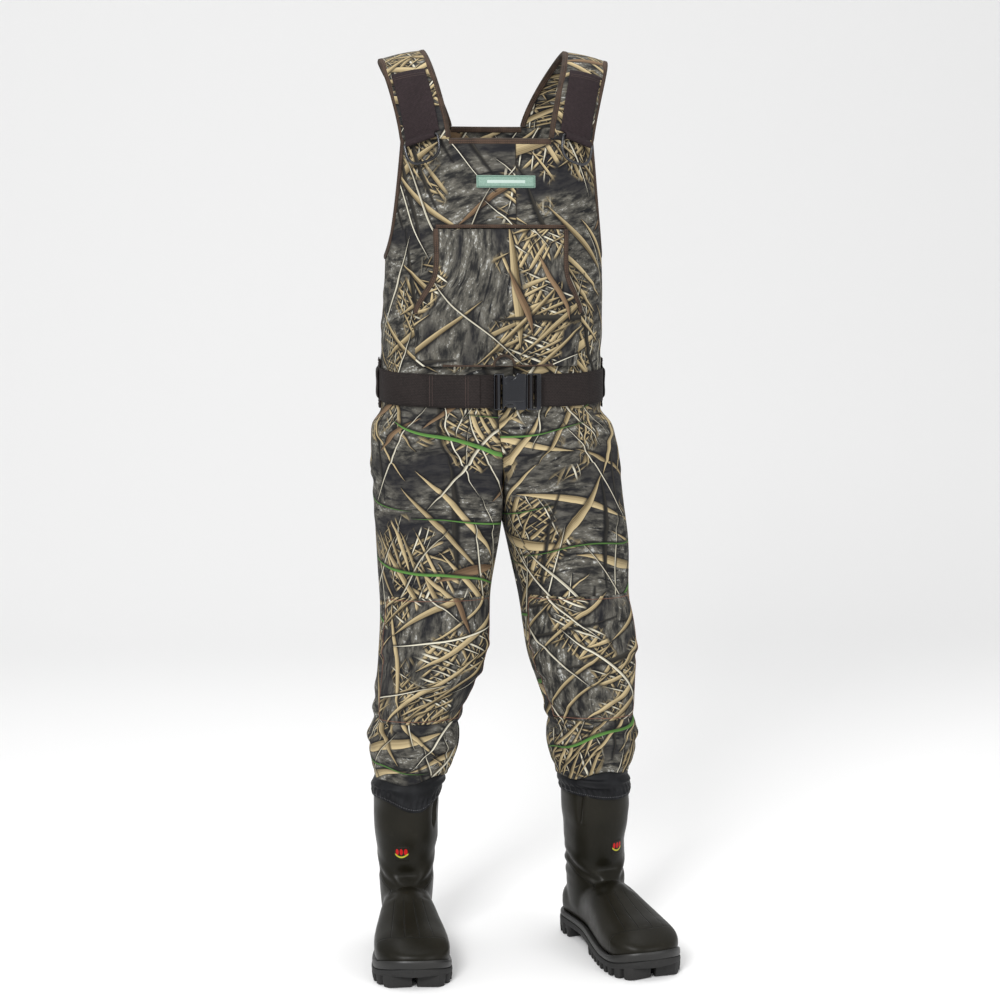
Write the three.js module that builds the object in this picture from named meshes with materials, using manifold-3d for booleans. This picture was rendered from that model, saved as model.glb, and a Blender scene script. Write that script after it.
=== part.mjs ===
// Bootfoot chest waders, empty but in the shape that they take when worn, standing on their boots.
// Millimetres, +Z up, the front faces -Y and the wearer's left is +X.
// The neoprene body is a bib and a pair of trouser legs welded to rubber boots. Over it lie a pouch pocket,
// knee pads, bound edges, shoulder straps with hook-and-loop bands and D-rings, and a belt that closes
// with a side-release buckle.
import * as THREE from "three";
import { mergeVertices } from "three/addons/utils/BufferGeometryUtils.js";
import Module from "manifold-3d";

const wasm = await Module();
wasm.setup();
const { sin, cos, abs, sign, sqrt, min, max, PI } = Math;
const { degToRad, lerp, clamp } = THREE.MathUtils;
const vec = (x, y, z) => new THREE.Vector3(x, y, z);

// ---------------------------------------------------------------- driving sizes
// Heights, each counted from the one before
const bootHeight = 262;
const legLength = 566; // boot top to crotch
const rise = 127; // crotch to the middle of the belt
const bibHeight = 398; // belt to the top edge of the chest
const shoulderRise = 148; // chest edge to the neck side of the shoulder
const backRise = 34; // the back reaches this much higher than the chest
const underarmDrop = 183; // chest edge down to the bottom of the arm opening

// Body widths and depths
const hipWidth = 414;
const waistWidth = 370;
const chestWidth = 360;
const hipDepth = 270;
const waistDepth = 240;
const chestDepth = 264;
const squareness = 2.4; // exponent of the body's oval sections

// Legs
const ankleSpan = 324; // between the middles of the two ankles
const kneeSpan = 254;
const crotchSpan = 214;
const thighWidth = 212;
const kneeWidth = 182;
const calfWidth = 144;
const legEndWidth = 122;
const thighDepth = 242;
const lowThighDepth = 194;
const kneeDepth = 180;
const calfDepth = 154;
const ankleForward = 12; // ankles stand this far in front of the body's middle
const toeOut = { right: 2, left: 17 }; // degrees

// Cloth
const neoprene = 5;
const layerGap = 1.5; // air between two layers of cloth
const seamGap = 0.6; // between two panels sewn edge to edge
const bindingReach = 8; // width of the bound edge on each face
const bindingTape = 1.2;

// Bib, pocket and label
const neckHalf = 81; // middle of the chest to the neck edge of a strap
const strapWidth = 76;
const crestInset = 115; // middle of the body to the neck edge of a strap on the shoulder
const crestDrop = 16; // how much lower the strap's outer edge lies on the shoulder
const backNeckHalf = 60;
const pocketHalfTop = 108;
const pocketHalfLow = 136;
const pocketTopDrop = 144; // chest edge down to the top of the pocket
const pocketMouth = 130; // height of the hand opening
const pocketGape = 12; // how far the pouch stands off the lining
const pouchCloth = 3.5;
const labelWidth = 96;
const labelHeight = 20;
const labelDrop = 68;

// Webbing, rings and buckle
const webWidth = 54;
const webThick = 2;
const ringWire = 2.3; // radius
const ringDrop = 38;
const beltTilt = 0.08; // the belt hangs lower at the front
const buckleLength = 52;
const buckleDepth = 13.4;
const buckleRim = 2.7; // buckle beyond the webbing, each side
const buckleShift = 18; // middle of the front to the middle of the buckle
const fitGap = 0.3;
const beltLoopWidth = 24;

// Boots, each in its own frame: ankle over the origin, toe towards -Y
const heelBack = 72;
const toeFront = 248;
const shaftWidth = 112;
const shaftDepth = 128;
const ankleWidth = 92;
const bootWall = 5;
const soleRim = 4; // outsole beyond the upper
const soleSlab = 12; // thickness of the outsole over its lugs
const slabOverlap = 8; // how far the lugs run up into the slab
const lugDepth = 9;
const lugLength = 11.5;
const lugPitch = 18;
const heelLugs = 4;
const toeLugs = 9;
const heelBreast = 0; // front of the heel, and the start of the lifted arch
const archEnd = 86;
const heelWidth = 84;
const ballWidth = 122;
const toeWidth = 112;
const instepHigh = 112;
const ballHigh = 86;
const toeHigh = 60;
const cuffOverlap = 40; // gathered cuff between the boot and the leg

// Heights worked out from the sizes above
const crotchZ = bootHeight + legLength;
const beltZ = crotchZ + rise;
const chestZ = beltZ + bibHeight;
const crestZ = chestZ + shoulderRise;
const backZ = chestZ + backRise;
const underarmZ = chestZ - underarmDrop;
const kneeZ = bootHeight + 0.42 * legLength;
const cuffTopZ = bootHeight + cuffOverlap;
const sides = [
  ["right", -1],
  ["left", 1],
];

// ---------------------------------------------------------------- materials
const paint = (color, roughness, metalness = 0) =>
  new THREE.MeshStandardMaterial({ color, roughness, metalness });
const camo = paint(0x5a5340, 0.9);
const brownTape = paint(0x4a2c1c, 0.85);
const brownWeb = paint(0x33271f, 0.85);
const blackCloth = paint(0x15171a, 0.8);
const fleece = paint(0x3b3630, 0.95);
const blackPlastic = paint(0x16181c, 0.35);
const darkSteel = paint(0x3a3c44, 0.35, 0.9);
const rubber = paint(0x2b271f, 0.55);
const soleRubber = paint(0x141414, 0.8);
const labelCloth = paint(0x8fb5a4, 0.8);
const printRed = paint(0x9c1a1c, 0.6);
const footbed = paint(0x3a3a3c, 0.9);

const waders = new THREE.Group();
function add(name, geometry, material, parent = waders) {
  const mesh = new THREE.Mesh(geometry, material.clone());
  mesh.name = name;
  parent.add(mesh);
  return mesh;
}

// ---------------------------------------------------------------- shapes
// A smooth curve through rows of [at, value].
function through(rows) {
  const slopes = rows.map((_, i) => {
    const a = rows[max(i - 1, 0)];
    const b = rows[min(i + 1, rows.length - 1)];
    return (b[1] - a[1]) / (b[0] - a[0]);
  });
  return (at) => {
    const x = clamp(at, rows[0][0], rows[rows.length - 1][0]);
    const i = clamp(rows.findIndex((row) => row[0] >= x), 1, rows.length - 1);
    const [x0, y0] = rows[i - 1];
    const [x1, y1] = rows[i];
    const h = x1 - x0;
    const t = (x - x0) / h;
    return (
      y0 * (1 + 2 * t) * (1 - t) ** 2 +
      slopes[i - 1] * h * t * (1 - t) ** 2 +
      y1 * t * t * (3 - 2 * t) +
      slopes[i] * h * t * t * (t - 1)
    );
  };
}

// A geometry from points and faces, turned so that its faces point out.
function closed(points, faces) {
  let volume = 0;
  for (const [a, b, c] of faces) {
    volume += points[a].dot(vec(0, 0, 0).crossVectors(points[b], points[c])) / 6;
  }
  const index = faces.flatMap(([a, b, c]) => (volume < 0 ? [a, c, b] : [a, b, c]));
  const geometry = new THREE.BufferGeometry().setFromPoints(points);
  geometry.setIndex(index);
  return geometry;
}

// The wall between two grids of points: outer(u, v) and inner(u, v), with u and v from 0 to 1.
// A tube joins u = 1 to u = 0.
function wall(nu, nv, outer, inner, tube = false) {
  const columns = tube ? nu : nu + 1;
  const points = [];
  for (const side of [outer, inner]) {
    for (let j = 0; j <= nv; j++) {
      for (let i = 0; i < columns; i++) points.push(side(i / nu, j / nv));
    }
  }
  const inward = columns * (nv + 1);
  const at = (i, j) => j * columns + (i % columns);
  const faces = [];
  const quad = (a, b, c, d) => faces.push([a, b, c], [a, c, d]);
  for (let j = 0; j < nv; j++) {
    for (let i = 0; i < nu; i++) {
      quad(at(i, j), at(i + 1, j), at(i + 1, j + 1), at(i, j + 1));
      quad(at(i, j) + inward, at(i, j + 1) + inward, at(i + 1, j + 1) + inward, at(i + 1, j) + inward);
    }
  }
  for (let i = 0; i < nu; i++) {
    quad(at(i + 1, 0), at(i, 0), at(i, 0) + inward, at(i + 1, 0) + inward);
    quad(at(i, nv), at(i + 1, nv), at(i + 1, nv) + inward, at(i, nv) + inward);
  }
  if (!tube) {
    for (let j = 0; j < nv; j++) {
      quad(at(0, j), at(0, j + 1), at(0, j + 1) + inward, at(0, j) + inward);
      quad(at(nu, j + 1), at(nu, j), at(nu, j) + inward, at(nu, j + 1) + inward);
    }
  }
  return closed(points, faces);
}

// A skin over rings of points, with flat ends, or joined end to end as a loop.
function skin(rings, loop = false) {
  const n = rings[0].length;
  const points = rings.flat();
  const faces = [];
  const last = loop ? rings.length : rings.length - 1;
  for (let j = 0; j < last; j++) {
    for (let i = 0; i < n; i++) {
      const a = j * n + i;
      const b = j * n + ((i + 1) % n);
      const up = ((j + 1) % rings.length) * n - j * n;
      faces.push([a, b, b + up], [a, b + up, a + up]);
    }
  }
  if (!loop) {
    for (let i = 1; i < n - 1; i++) {
      const top = (rings.length - 1) * n;
      faces.push([0, i + 1, i], [top, top + i, top + i + 1]);
    }
  }
  return closed(points, faces);
}

// A prism between two level rings of equal count round a star-shaped plan.
function prism(rings) {
  const n = rings[0].length;
  const centre = rings.map((ring) => {
    const c = vec(0, 0, 0);
    for (const p of ring) c.addScaledVector(p, 1 / n);
    return c;
  });
  const points = [...rings[0], ...rings[1], ...centre];
  const faces = [];
  for (let i = 0; i < n; i++) {
    const j = (i + 1) % n;
    faces.push([i, j, n + j], [i, n + j, n + i], [j, i, 2 * n], [n + i, n + j, 2 * n + 1]);
  }
  return closed(points, faces);
}

const power = (value, exponent) => sign(value) * abs(value) ** exponent;

// ---------------------------------------------------------------- booleans
function solid(geometry) {
  const bare = new THREE.BufferGeometry();
  bare.setAttribute("position", geometry.getAttribute("position"));
  if (geometry.index) bare.setIndex(geometry.index);
  const merged = mergeVertices(bare, 1e-4);
  return new wasm.Manifold(
    new wasm.Mesh({
      numProp: 3,
      vertProperties: new Float32Array(merged.attributes.position.array),
      triVerts: new Uint32Array(merged.index.array),
    }),
  );
}

function geometryOf(manifold) {
  const mesh = manifold.getMesh();
  const geometry = new THREE.BufferGeometry();
  geometry.setAttribute("position", new THREE.BufferAttribute(new Float32Array(mesh.vertProperties), 3));
  geometry.setIndex(new THREE.BufferAttribute(new Uint32Array(mesh.triVerts), 1));
  return geometry;
}

// A box between two corners.
function block([x0, y0, z0], [x1, y1, z1]) {
  const geometry = new THREE.BoxGeometry(x1 - x0, y1 - y0, z1 - z0);
  return geometry.translate((x0 + x1) / 2, (y0 + y1) / 2, (z0 + z1) / 2);
}

// ---------------------------------------------------------------- the body's oval sections
// The wearer's weight is a little to one side, so the middle of the body sways with height.
const sway = through([
  [0, 0],
  [lerp(bootHeight, kneeZ, 0.4), 3],
  [kneeZ, 10],
  [lerp(kneeZ, crotchZ, 0.72), 0],
  [lerp(crotchZ, beltZ, 0.4), -13],
  [beltZ, -16],
  [underarmZ, -12],
  [crestZ, -12],
]);
const bodyHalf = through([
  [crotchZ, hipWidth / 2 + 2],
  [lerp(crotchZ, beltZ, 0.35), hipWidth / 2],
  [lerp(crotchZ, beltZ, 0.7), hipWidth / 2 - 5],
  [beltZ, waistWidth / 2],
  [lerp(beltZ, underarmZ, 0.3), waistWidth / 2],
  [underarmZ, chestWidth / 2],
  [backZ, chestWidth / 2 - 3],
]);
const bodyFront = through([
  [crotchZ, hipDepth / 2 - 2],
  [lerp(crotchZ, beltZ, 0.4), hipDepth / 2],
  [lerp(crotchZ, beltZ, 0.75), hipDepth / 2 - 5],
  [beltZ, waistDepth / 2],
  [lerp(beltZ, underarmZ, 0.25), waistDepth / 2 + 2],
  [underarmZ, chestDepth / 2 + 2],
  [lerp(underarmZ, chestZ, 0.5), chestDepth / 2],
  [chestZ, chestDepth / 2 - 10],
  [backZ, chestDepth / 2 - 14],
]);
const bodyBack = through([
  [crotchZ, hipDepth / 2 + 1],
  [lerp(crotchZ, beltZ, 0.4), hipDepth / 2 + 4],
  [beltZ, waistDepth / 2],
  [lerp(beltZ, underarmZ, 0.3), waistDepth / 2],
  [underarmZ, chestDepth / 2 - 2],
  [lerp(underarmZ, backZ, 0.6), chestDepth / 2],
  [backZ, chestDepth / 2 - 8],
]);

// The belt draws the body in to one even section over its own width, and the shape eases back beyond it.
const beltGrip = 42;
const beltEase = 110;
function gripped(z) {
  const away = z - beltZ;
  if (abs(away) > beltEase) return z;
  return beltZ + sign(away) * max(0, abs(away) - beltGrip) * (beltEase / (beltEase - beltGrip));
}

// A point on the body: phi is 0 at the front and grows towards the wearer's left, and out is the distance
// off the cloth.
function onBody(phi, z, out = 0) {
  const level = gripped(z);
  const depth = cos(phi) >= 0 ? bodyFront(level) : bodyBack(level);
  return vec(
    sway(level) + (bodyHalf(level) + out) * power(sin(phi), 2 / squareness),
    -(depth + out) * power(cos(phi), 2 / squareness),
    z,
  );
}

// The angle at which the section at z is x away from the body's middle.
function angleAt(x, z, out = 0) {
  return Math.asin(power(clamp(x / (bodyHalf(gripped(z)) + out), -1, 1), squareness / 2));
}

// The edge of the arm opening on the front or back panel, as an angle from the middle of that panel.
const strapHalfFront = neckHalf + strapWidth;
const strapHalfBack = backNeckHalf + strapWidth;
function armholeAngle(z, topZ, topHalf) {
  const k = clamp((z - underarmZ) / (topZ - underarmZ), 0, 1);
  const top = angleAt(topHalf, topZ);
  return PI / 2 - (PI / 2 - top) * k ** 0.35;
}
const frontEdge = (z) => armholeAngle(z, chestZ, strapHalfFront);
const backEdge = (z) => armholeAngle(z, backZ, strapHalfBack);

// ---------------------------------------------------------------- neoprene body
// Rows of a bib panel: one where the belt lets go, even ones up to the arm opening, and close together
// where the curve of the opening turns.
const lowRows = 8;
const armRows = 8;
const armRow = (share) => share ** 2.2;
function bibRow(v, topZ) {
  const row = v * (lowRows + armRows);
  const grip = beltZ + beltGrip;
  if (row < 1) return lerp(beltZ + seamGap / 2, grip, row);
  if (row < lowRows) return lerp(grip, underarmZ, (row - 1) / (lowRows - 1));
  return lerp(underarmZ, topZ, armRow((row - lowRows) / armRows));
}
const seamAngle = seamGap / waistWidth;

// A bib panel, or the room that it takes up when it is grown by a clearance on every side.
function bibPanel(topZ, edge, middle, grow = 0) {
  const face = (out) => (u, v) => {
    const z = bibRow(v, topZ);
    const reach = edge(z) - seamAngle + (2.4 * grow) / waistWidth;
    return onBody(middle + (2 * u - 1) * reach, z, out).setZ(v === 1 ? z + grow : z);
  };
  return wall(16, lowRows + armRows, face(grow), face(-neoprene - grow));
}
const bibFront = (grow) => bibPanel(chestZ, frontEdge, 0, grow);
const bibBack = (grow) => bibPanel(backZ, backEdge, PI, grow);
add("bib_front_panel", bibFront(0), camo);
add("bib_back_panel", bibBack(0), camo);

const hipRows = 4;
function hipRow(v) {
  const row = v * hipRows;
  const grip = beltZ - beltGrip;
  if (row > hipRows - 1) return lerp(grip, beltZ - seamGap / 2, row - hipRows + 1);
  return lerp(crotchZ + seamGap, grip, row / (hipRows - 1));
}
for (const [name, side] of sides) {
  const face = (out) => (u, v) => onBody(side * lerp(2 * seamAngle, PI - 2 * seamAngle, u), hipRow(v), out);
  add(name + "_hip_panel", wall(16, hipRows, face(0), face(-neoprene)), camo);
}

// Legs: flat against each other at the crotch, round from mid thigh down.
const legZ = (share) => lerp(bootHeight, crotchZ, share);
const legCentre = through([
  [0, ankleSpan / 2],
  [legZ(0.07), ankleSpan / 2 - 7],
  [legZ(0.25), lerp(ankleSpan, kneeSpan, 0.45) / 2],
  [legZ(0.42), kneeSpan / 2],
  [legZ(0.72), lerp(kneeSpan, crotchSpan, 0.7) / 2],
  [legZ(0.86), crotchSpan / 2],
  [crotchZ, crotchSpan / 2],
]);
const legHalf = through([
  [bootHeight, legEndWidth / 2 - 3],
  [legZ(0.07), legEndWidth / 2],
  [legZ(0.15), calfWidth / 2 - 3],
  [legZ(0.25), calfWidth / 2],
  [legZ(0.42), kneeWidth / 2],
  [legZ(0.6), kneeWidth / 2 + 2],
  [legZ(0.85), thighWidth / 2],
  [crotchZ, thighWidth / 2],
]);
const legDeep = through([
  [bootHeight, shaftDepth / 2 + 1],
  [legZ(0.07), shaftDepth / 2 + 4],
  [legZ(0.25), calfDepth / 2],
  [legZ(0.42), kneeDepth / 2],
  [legZ(0.6), lowThighDepth / 2],
  [legZ(0.85), thighDepth / 2],
  [crotchZ, hipDepth / 2 - 1],
]);
const legForward = through([
  [bootHeight, ankleForward - 4],
  [legZ(0.25), 6],
  [legZ(0.42), 16],
  [legZ(0.7), 6],
  [crotchZ, 0],
]);
const innerSquareness = through([
  [legZ(0.55), 2.3],
  [legZ(0.85), 4.5],
  [crotchZ, 7],
]);

// Half of the hips' section, which a leg takes up where it is sewn on.
function onHalfBody(side, phi, z, out) {
  const outward = side * sin(phi) > 0;
  const exponent = outward ? squareness : innerSquareness(z);
  const half = bodyHalf(z) + out;
  const reach = outward ? half - legCentre(z) : legHalf(z) + out;
  const across = legCentre(z) + side * reach * power(sin(phi), 2 / exponent);
  const deep = (cos(phi) >= 0 ? bodyFront(z) : bodyBack(z)) + out;
  const bowed = deep * max(0, 1 - abs(across / half) ** squareness) ** (1 / squareness);
  return vec(
    side * across + sway(z),
    outward ? -sign(cos(phi)) * bowed : -bowed * power(cos(phi), 2 / exponent),
    z,
  );
}

// A point on a leg: phi is 0 at the front and grows towards the wearer's left.
function onLeg(side, phi, z, out = 0) {
  const outward = side * sin(phi) > 0;
  const exponent = outward ? squareness : innerSquareness(z);
  const point = vec(
    side * legCentre(z) + sway(z) + (legHalf(z) + out) * power(sin(phi), 2 / exponent),
    -legForward(z) - (legDeep(z) + out) * power(cos(phi), 2 / exponent),
    z,
  );
  const merged = clamp((z - legZ(0.76)) / (crotchZ - legZ(0.76)), 0, 1);
  return point.lerp(onHalfBody(side, phi, z, out), merged * merged * (3 - 2 * merged));
}

for (const [name, side] of sides) {
  const face = (out) => (u, v) => onLeg(side, 2 * PI * u, lerp(cuffTopZ, crotchZ - seamGap, v), out);
  add(name + "_leg", wall(20, 9, face(-seamGap), face(-neoprene), true), camo);

  const padHeight = 0.38 * legLength;
  const padTop = kneeZ + 0.5 * padHeight;
  const padHalfAngle = degToRad(68);
  const pad = (out) => (u, v) => {
    const round = 1 - 0.16 * abs(2 * v - 1) ** 6;
    return onLeg(side, (2 * u - 1) * padHalfAngle * round, padTop - padHeight * v, out);
  };
  add(name + "_knee_pad", wall(10, 7, pad(layerGap + 4), pad(layerGap + 1.5)), camo);
}

// ---------------------------------------------------------------- shoulder straps
// A strap's edge is a quarter oval up the chest and another down the back. t is 0 at the chest and 1 at the
// back, and below 0 it runs straight down over the chest.
function strapRail(t, side, half, backHalf, crestHalf, drop) {
  const front = t <= 0.5;
  const start = front ? half : backHalf;
  const base = front ? chestZ : backZ;
  const angle = PI * (front ? max(t, 0) : 1 - t);
  const depth = -onBody(angleAt(start, base), base, -neoprene / 2).y;
  const deep = front ? depth : -(bodyBack(base) / bodyFront(base)) * depth;
  const height = crestZ - drop - base;
  return vec(
    sway(base) + side * lerp(start, crestHalf, sin(angle) ** 1.3),
    -deep * cos(angle),
    base + height * (t < 0 ? PI * t : sin(angle)),
  );
}
// How far the body bows out beyond a straight line between two places at one height.
function bow(near, far, z) {
  const [a, b, c] = [near, (near + far) / 2, far].map((x) => -onBody(angleAt(x, z), z).y);
  return b - (a + c) / 2;
}
const chestBow = bow(neckHalf, strapHalfFront, chestZ);
const backBow = bow(backNeckHalf, strapHalfBack, backZ);
const crestBow = 2;
const strapCrown = (t) =>
  t < 0.5 ? lerp(chestBow, crestBow, clamp(2 * t, 0, 1)) : lerp(crestBow, backBow, 2 * t - 1);

// The strap's frame at t: a point across its width, its outward normal and its direction to the outer edge.
function strapFrame(side, u, t) {
  const inner = (s) => strapRail(s, side, neckHalf, backNeckHalf, crestInset, 0);
  const outer = (s) =>
    strapRail(s, side, strapHalfFront, strapHalfBack, crestInset + strapWidth - 2, crestDrop);
  const mid = (s) => inner(s).lerp(outer(s), u);
  const step = 1e-3;
  const along = mid(t + step).sub(mid(t - step)).normalize();
  const across = outer(t).sub(inner(t)).normalize();
  const normal = vec(0, 0, 0).crossVectors(across, along).multiplyScalar(side).normalize();
  const point = mid(t).addScaledVector(normal, strapCrown(t) * 4 * u * (1 - u));
  return { point, along, across, normal };
}
function onStrap(side, u, t, out) {
  const { point, normal } = strapFrame(side, u, t);
  return point.addScaledVector(normal, out);
}

const strapStart = 0.004; // leaves the sewn edge of the bib free
const strapRows = 16;
function strap(side, grow = 0) {
  const start = strapStart - grow / 400;
  const spread = grow / strapWidth;
  const face = (out) => (u, v) =>
    onStrap(side, lerp(-spread, 1 + spread, u), lerp(start, 1 - start, v), out);
  return wall(4, strapRows, face(neoprene / 2 + grow), face(-neoprene / 2 - grow));
}
for (const [name, side] of sides) add(name + "_shoulder_strap", strap(side), camo);

// ---------------------------------------------------------------- bound edges
// Tape folded over an edge: a flat bead along the edge, hollowed by the cloth that it wraps.
// Each spot holds a point on the edge at the cloth's middle, the cloth's normal and a way into the cloth.
function binding(spots, cloths, loop = false, cloth = neoprene) {
  const off = cloth / 2 + fitGap + bindingTape;
  const profile = [
    [-bindingReach, off],
    [0.4, off],
    [fitGap + bindingTape, off - 1],
    [fitGap + bindingTape, 1 - off],
    [0.4, -off],
    [-bindingReach, -off],
  ];
  const count = spots.length;
  const rings = spots.map(({ point, normal, inward }, j) => {
    const before = spots[loop ? (j + count - 1) % count : max(j - 1, 0)].point;
    const after = spots[loop ? (j + 1) % count : min(j + 1, count - 1)].point;
    const edge = vec(0, 0, 0).crossVectors(normal, after.clone().sub(before)).normalize();
    if (edge.dot(inward) > 0) edge.negate();
    return profile.map(([reach, up]) =>
      point.clone().addScaledVector(edge, reach).addScaledVector(normal, up),
    );
  });
  let bead = solid(skin(rings, loop));
  for (const wrapped of cloths) bead = bead.subtract(solid(wrapped));
  return geometryOf(bead.decompose().reduce((most, one) => (one.volume() > most.volume() ? one : most)));
}

// The cloth's normal on the body at an angle and height.
function bodyNormal(phi, z) {
  const step = 0.01;
  const around = onBody(phi + step, z).sub(onBody(phi - step, z));
  const up = onBody(phi, z + 1).sub(onBody(phi, z - 1));
  return vec(0, 0, 0).crossVectors(around, up).normalize();
}
const steps = (count, make) => Array.from({ length: count + 1 }, (_, i) => make(i / count));

const cornerFree = 12; // between the end of one tape and the next at a corner
function topBinding(topZ, half, middle, panel) {
  const reach = angleAt(half - cornerFree, topZ);
  const spots = steps(10, (v) => {
    const phi = middle + (2 * v - 1) * reach;
    return {
      point: onBody(phi, topZ, -neoprene / 2),
      normal: bodyNormal(phi, topZ - 1),
      inward: vec(0, 0, -1),
    };
  });
  return binding(spots, [panel(fitGap)]);
}
add("chest_top_binding", topBinding(chestZ, neckHalf, 0, bibFront), brownTape);
add("back_top_binding", topBinding(backZ, backNeckHalf, PI, bibBack), brownTape);

for (const [name, side] of sides) {
  const strapSpots = (u, towards) =>
    steps(strapRows, (v) => {
      const { point, across, normal } = strapFrame(side, u, lerp(0.02, 0.98, v));
      return { point, normal, inward: across.multiplyScalar(towards) };
    });
  add(name + "_neck_binding", binding(strapSpots(0, 1), [strap(side, fitGap)]), brownTape);

  // From the side seam up the chest, over the shoulder and down the back to the side seam.
  const armSpots = (topZ, angle, towards) =>
    steps(armRows, (share) => {
      const z = lerp(underarmZ, topZ, 0.975 * armRow(share));
      const phi = angle(z);
      const inward = onBody(phi + towards * 0.15, z - 12).sub(onBody(phi, z));
      return { point: onBody(phi, z, -neoprene / 2), normal: bodyNormal(phi, z), inward };
    });
  const up = armSpots(chestZ, (z) => side * frontEdge(z), -side);
  const down = armSpots(backZ, (z) => side * (PI - backEdge(z)), side).reverse();
  down.pop();
  const round = [...up, ...strapSpots(1, -1), ...down];
  const cloths = [bibFront(fitGap), bibBack(fitGap), strap(side, fitGap)];
  add(name + "_armhole_binding", binding(round, cloths, true), brownTape);
}

// ---------------------------------------------------------------- pouch pocket, label and waist tab
const pocketTop = chestZ - pocketTopDrop;
const webHalf = webWidth / 2;
const pocketBottom = beltZ + webHalf + 6;
const pocketHalf = through([
  [pocketBottom, pocketHalfLow - 4],
  [pocketTop - pocketMouth, pocketHalfLow],
  [pocketTop - 0.8 * pocketMouth, lerp(pocketHalfLow, pocketHalfTop, 0.4)],
  [pocketTop - 0.55 * pocketMouth, pocketHalfTop + 1],
  [pocketTop, pocketHalfTop],
]);
// The pouch is sewn down at its top, its bottom and low on its sides, and stands open at the mouth.
function pouchRise(share, z) {
  const upright = sin(PI * clamp((z - pocketBottom) / (pocketTop - pocketBottom), 0, 1)) ** 0.6;
  const open = clamp((z - (pocketTop - pocketMouth)) / (0.35 * pocketMouth), 0, 1);
  const sideways = lerp(1 - abs(share) ** 4, 1, open);
  return pocketGape * upright * sideways;
}
function onChest(x, z, out) {
  return onBody(angleAt(x, z, out), z, out);
}
const pouchFace = (thick) => (u, v) => {
  const z = lerp(pocketBottom, pocketTop, v);
  const share = 2 * u - 1;
  const base = 2 * layerGap + 1.2;
  return onChest(share * pocketHalf(z), z, base + pouchRise(share, z) + thick);
};
function pouch(grow = 0) {
  const spread = grow / (2 * pocketHalfTop);
  const face = (thick) => (u, v) => pouchFace(thick)(lerp(-spread, 1 + spread, u), v);
  return wall(16, 10, face(pouchCloth + grow), face(-grow));
}
add("pocket_pouch", pouch(), camo);

const liningFace = (out) => (u, v) => {
  const z = lerp(pocketBottom + 4, pocketTop - 4, v);
  return onChest((2 * u - 1) * (pocketHalf(z) - 6), z, out);
};
add("pocket_fleece_lining", wall(14, 8, liningFace(layerGap + 1.2), liningFace(layerGap)), fleece);

for (const [name, side] of sides) {
  const middle = pouchFace(pouchCloth / 2);
  const mouth = steps(10, (v) => {
    const row = (lerp(pocketTop - pocketMouth, pocketTop - 3, v) - pocketBottom) / (pocketTop - pocketBottom);
    const u = 0.5 + side * 0.5;
    const point = middle(u, row);
    const inward = middle(u - side * 0.05, row).sub(point);
    const up = middle(u, row + 0.01).sub(point);
    const normal = vec(0, 0, 0).crossVectors(up, inward).multiplyScalar(side).normalize();
    return { point, normal, inward };
  });
  add(name + "_pocket_binding", binding(mouth, [pouch(fitGap)], false, pouchCloth), brownTape);
}

// A flat piece on the chest between two heights.
function chestPatch(half, lowZ, highZ, out, thick, shift = 0) {
  const face = (off) => (u, v) => onChest(shift + (2 * u - 1) * half, lerp(lowZ, highZ, v), off);
  return wall(10, 1, face(out + thick), face(out));
}
const seamTape = chestPatch(pocketHalfTop - 3, pocketTop + 2, pocketTop + 8, layerGap, bindingTape);
add("pocket_top_tape", seamTape, brownTape);
const labelMid = chestZ - labelDrop;
add(
  "chest_label",
  chestPatch(labelWidth / 2, labelMid - labelHeight / 2, labelMid + labelHeight / 2, layerGap, 1, 8),
  labelCloth,
);

// A half-round tab with a bound rim stands up from the pocket's bottom seam, behind the buckle.
const tabRadius = 15;
const tabRim = 4;
const tabBase = pocketBottom + 1;
const tabShift = 8;
const tabOut = 2 * layerGap + pouchCloth + pocketGape + 4;
function tabPiece(inner, outer, thick) {
  const face = (off) => (u, v) => {
    const radius = lerp(inner, outer, v);
    const x = tabShift + radius * cos(PI * u);
    return onChest(x, tabBase + radius * sin(PI * u) + 1, tabOut + off);
  };
  return wall(14, 1, face(thick), face(0));
}
add("waist_tab", tabPiece(2, tabRadius - fitGap, 2), camo);
add("waist_tab_binding", tabPiece(tabRadius, tabRadius + tabRim, 3), brownTape);

// ---------------------------------------------------------------- strap bands and D-rings
const bandTop = 0.275;
const bandTilt = 9; // the band's outer corner hangs this much lower than its middle
const bandUp = neoprene / 2 + layerGap;
const railLength = PI * shoulderRise; // millimetres of height for one unit of t near the chest
const keeperInner = ringWire + 0.35;
const keeperOuter = keeperInner + webThick;
const keeperLength = webWidth - 6;

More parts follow.
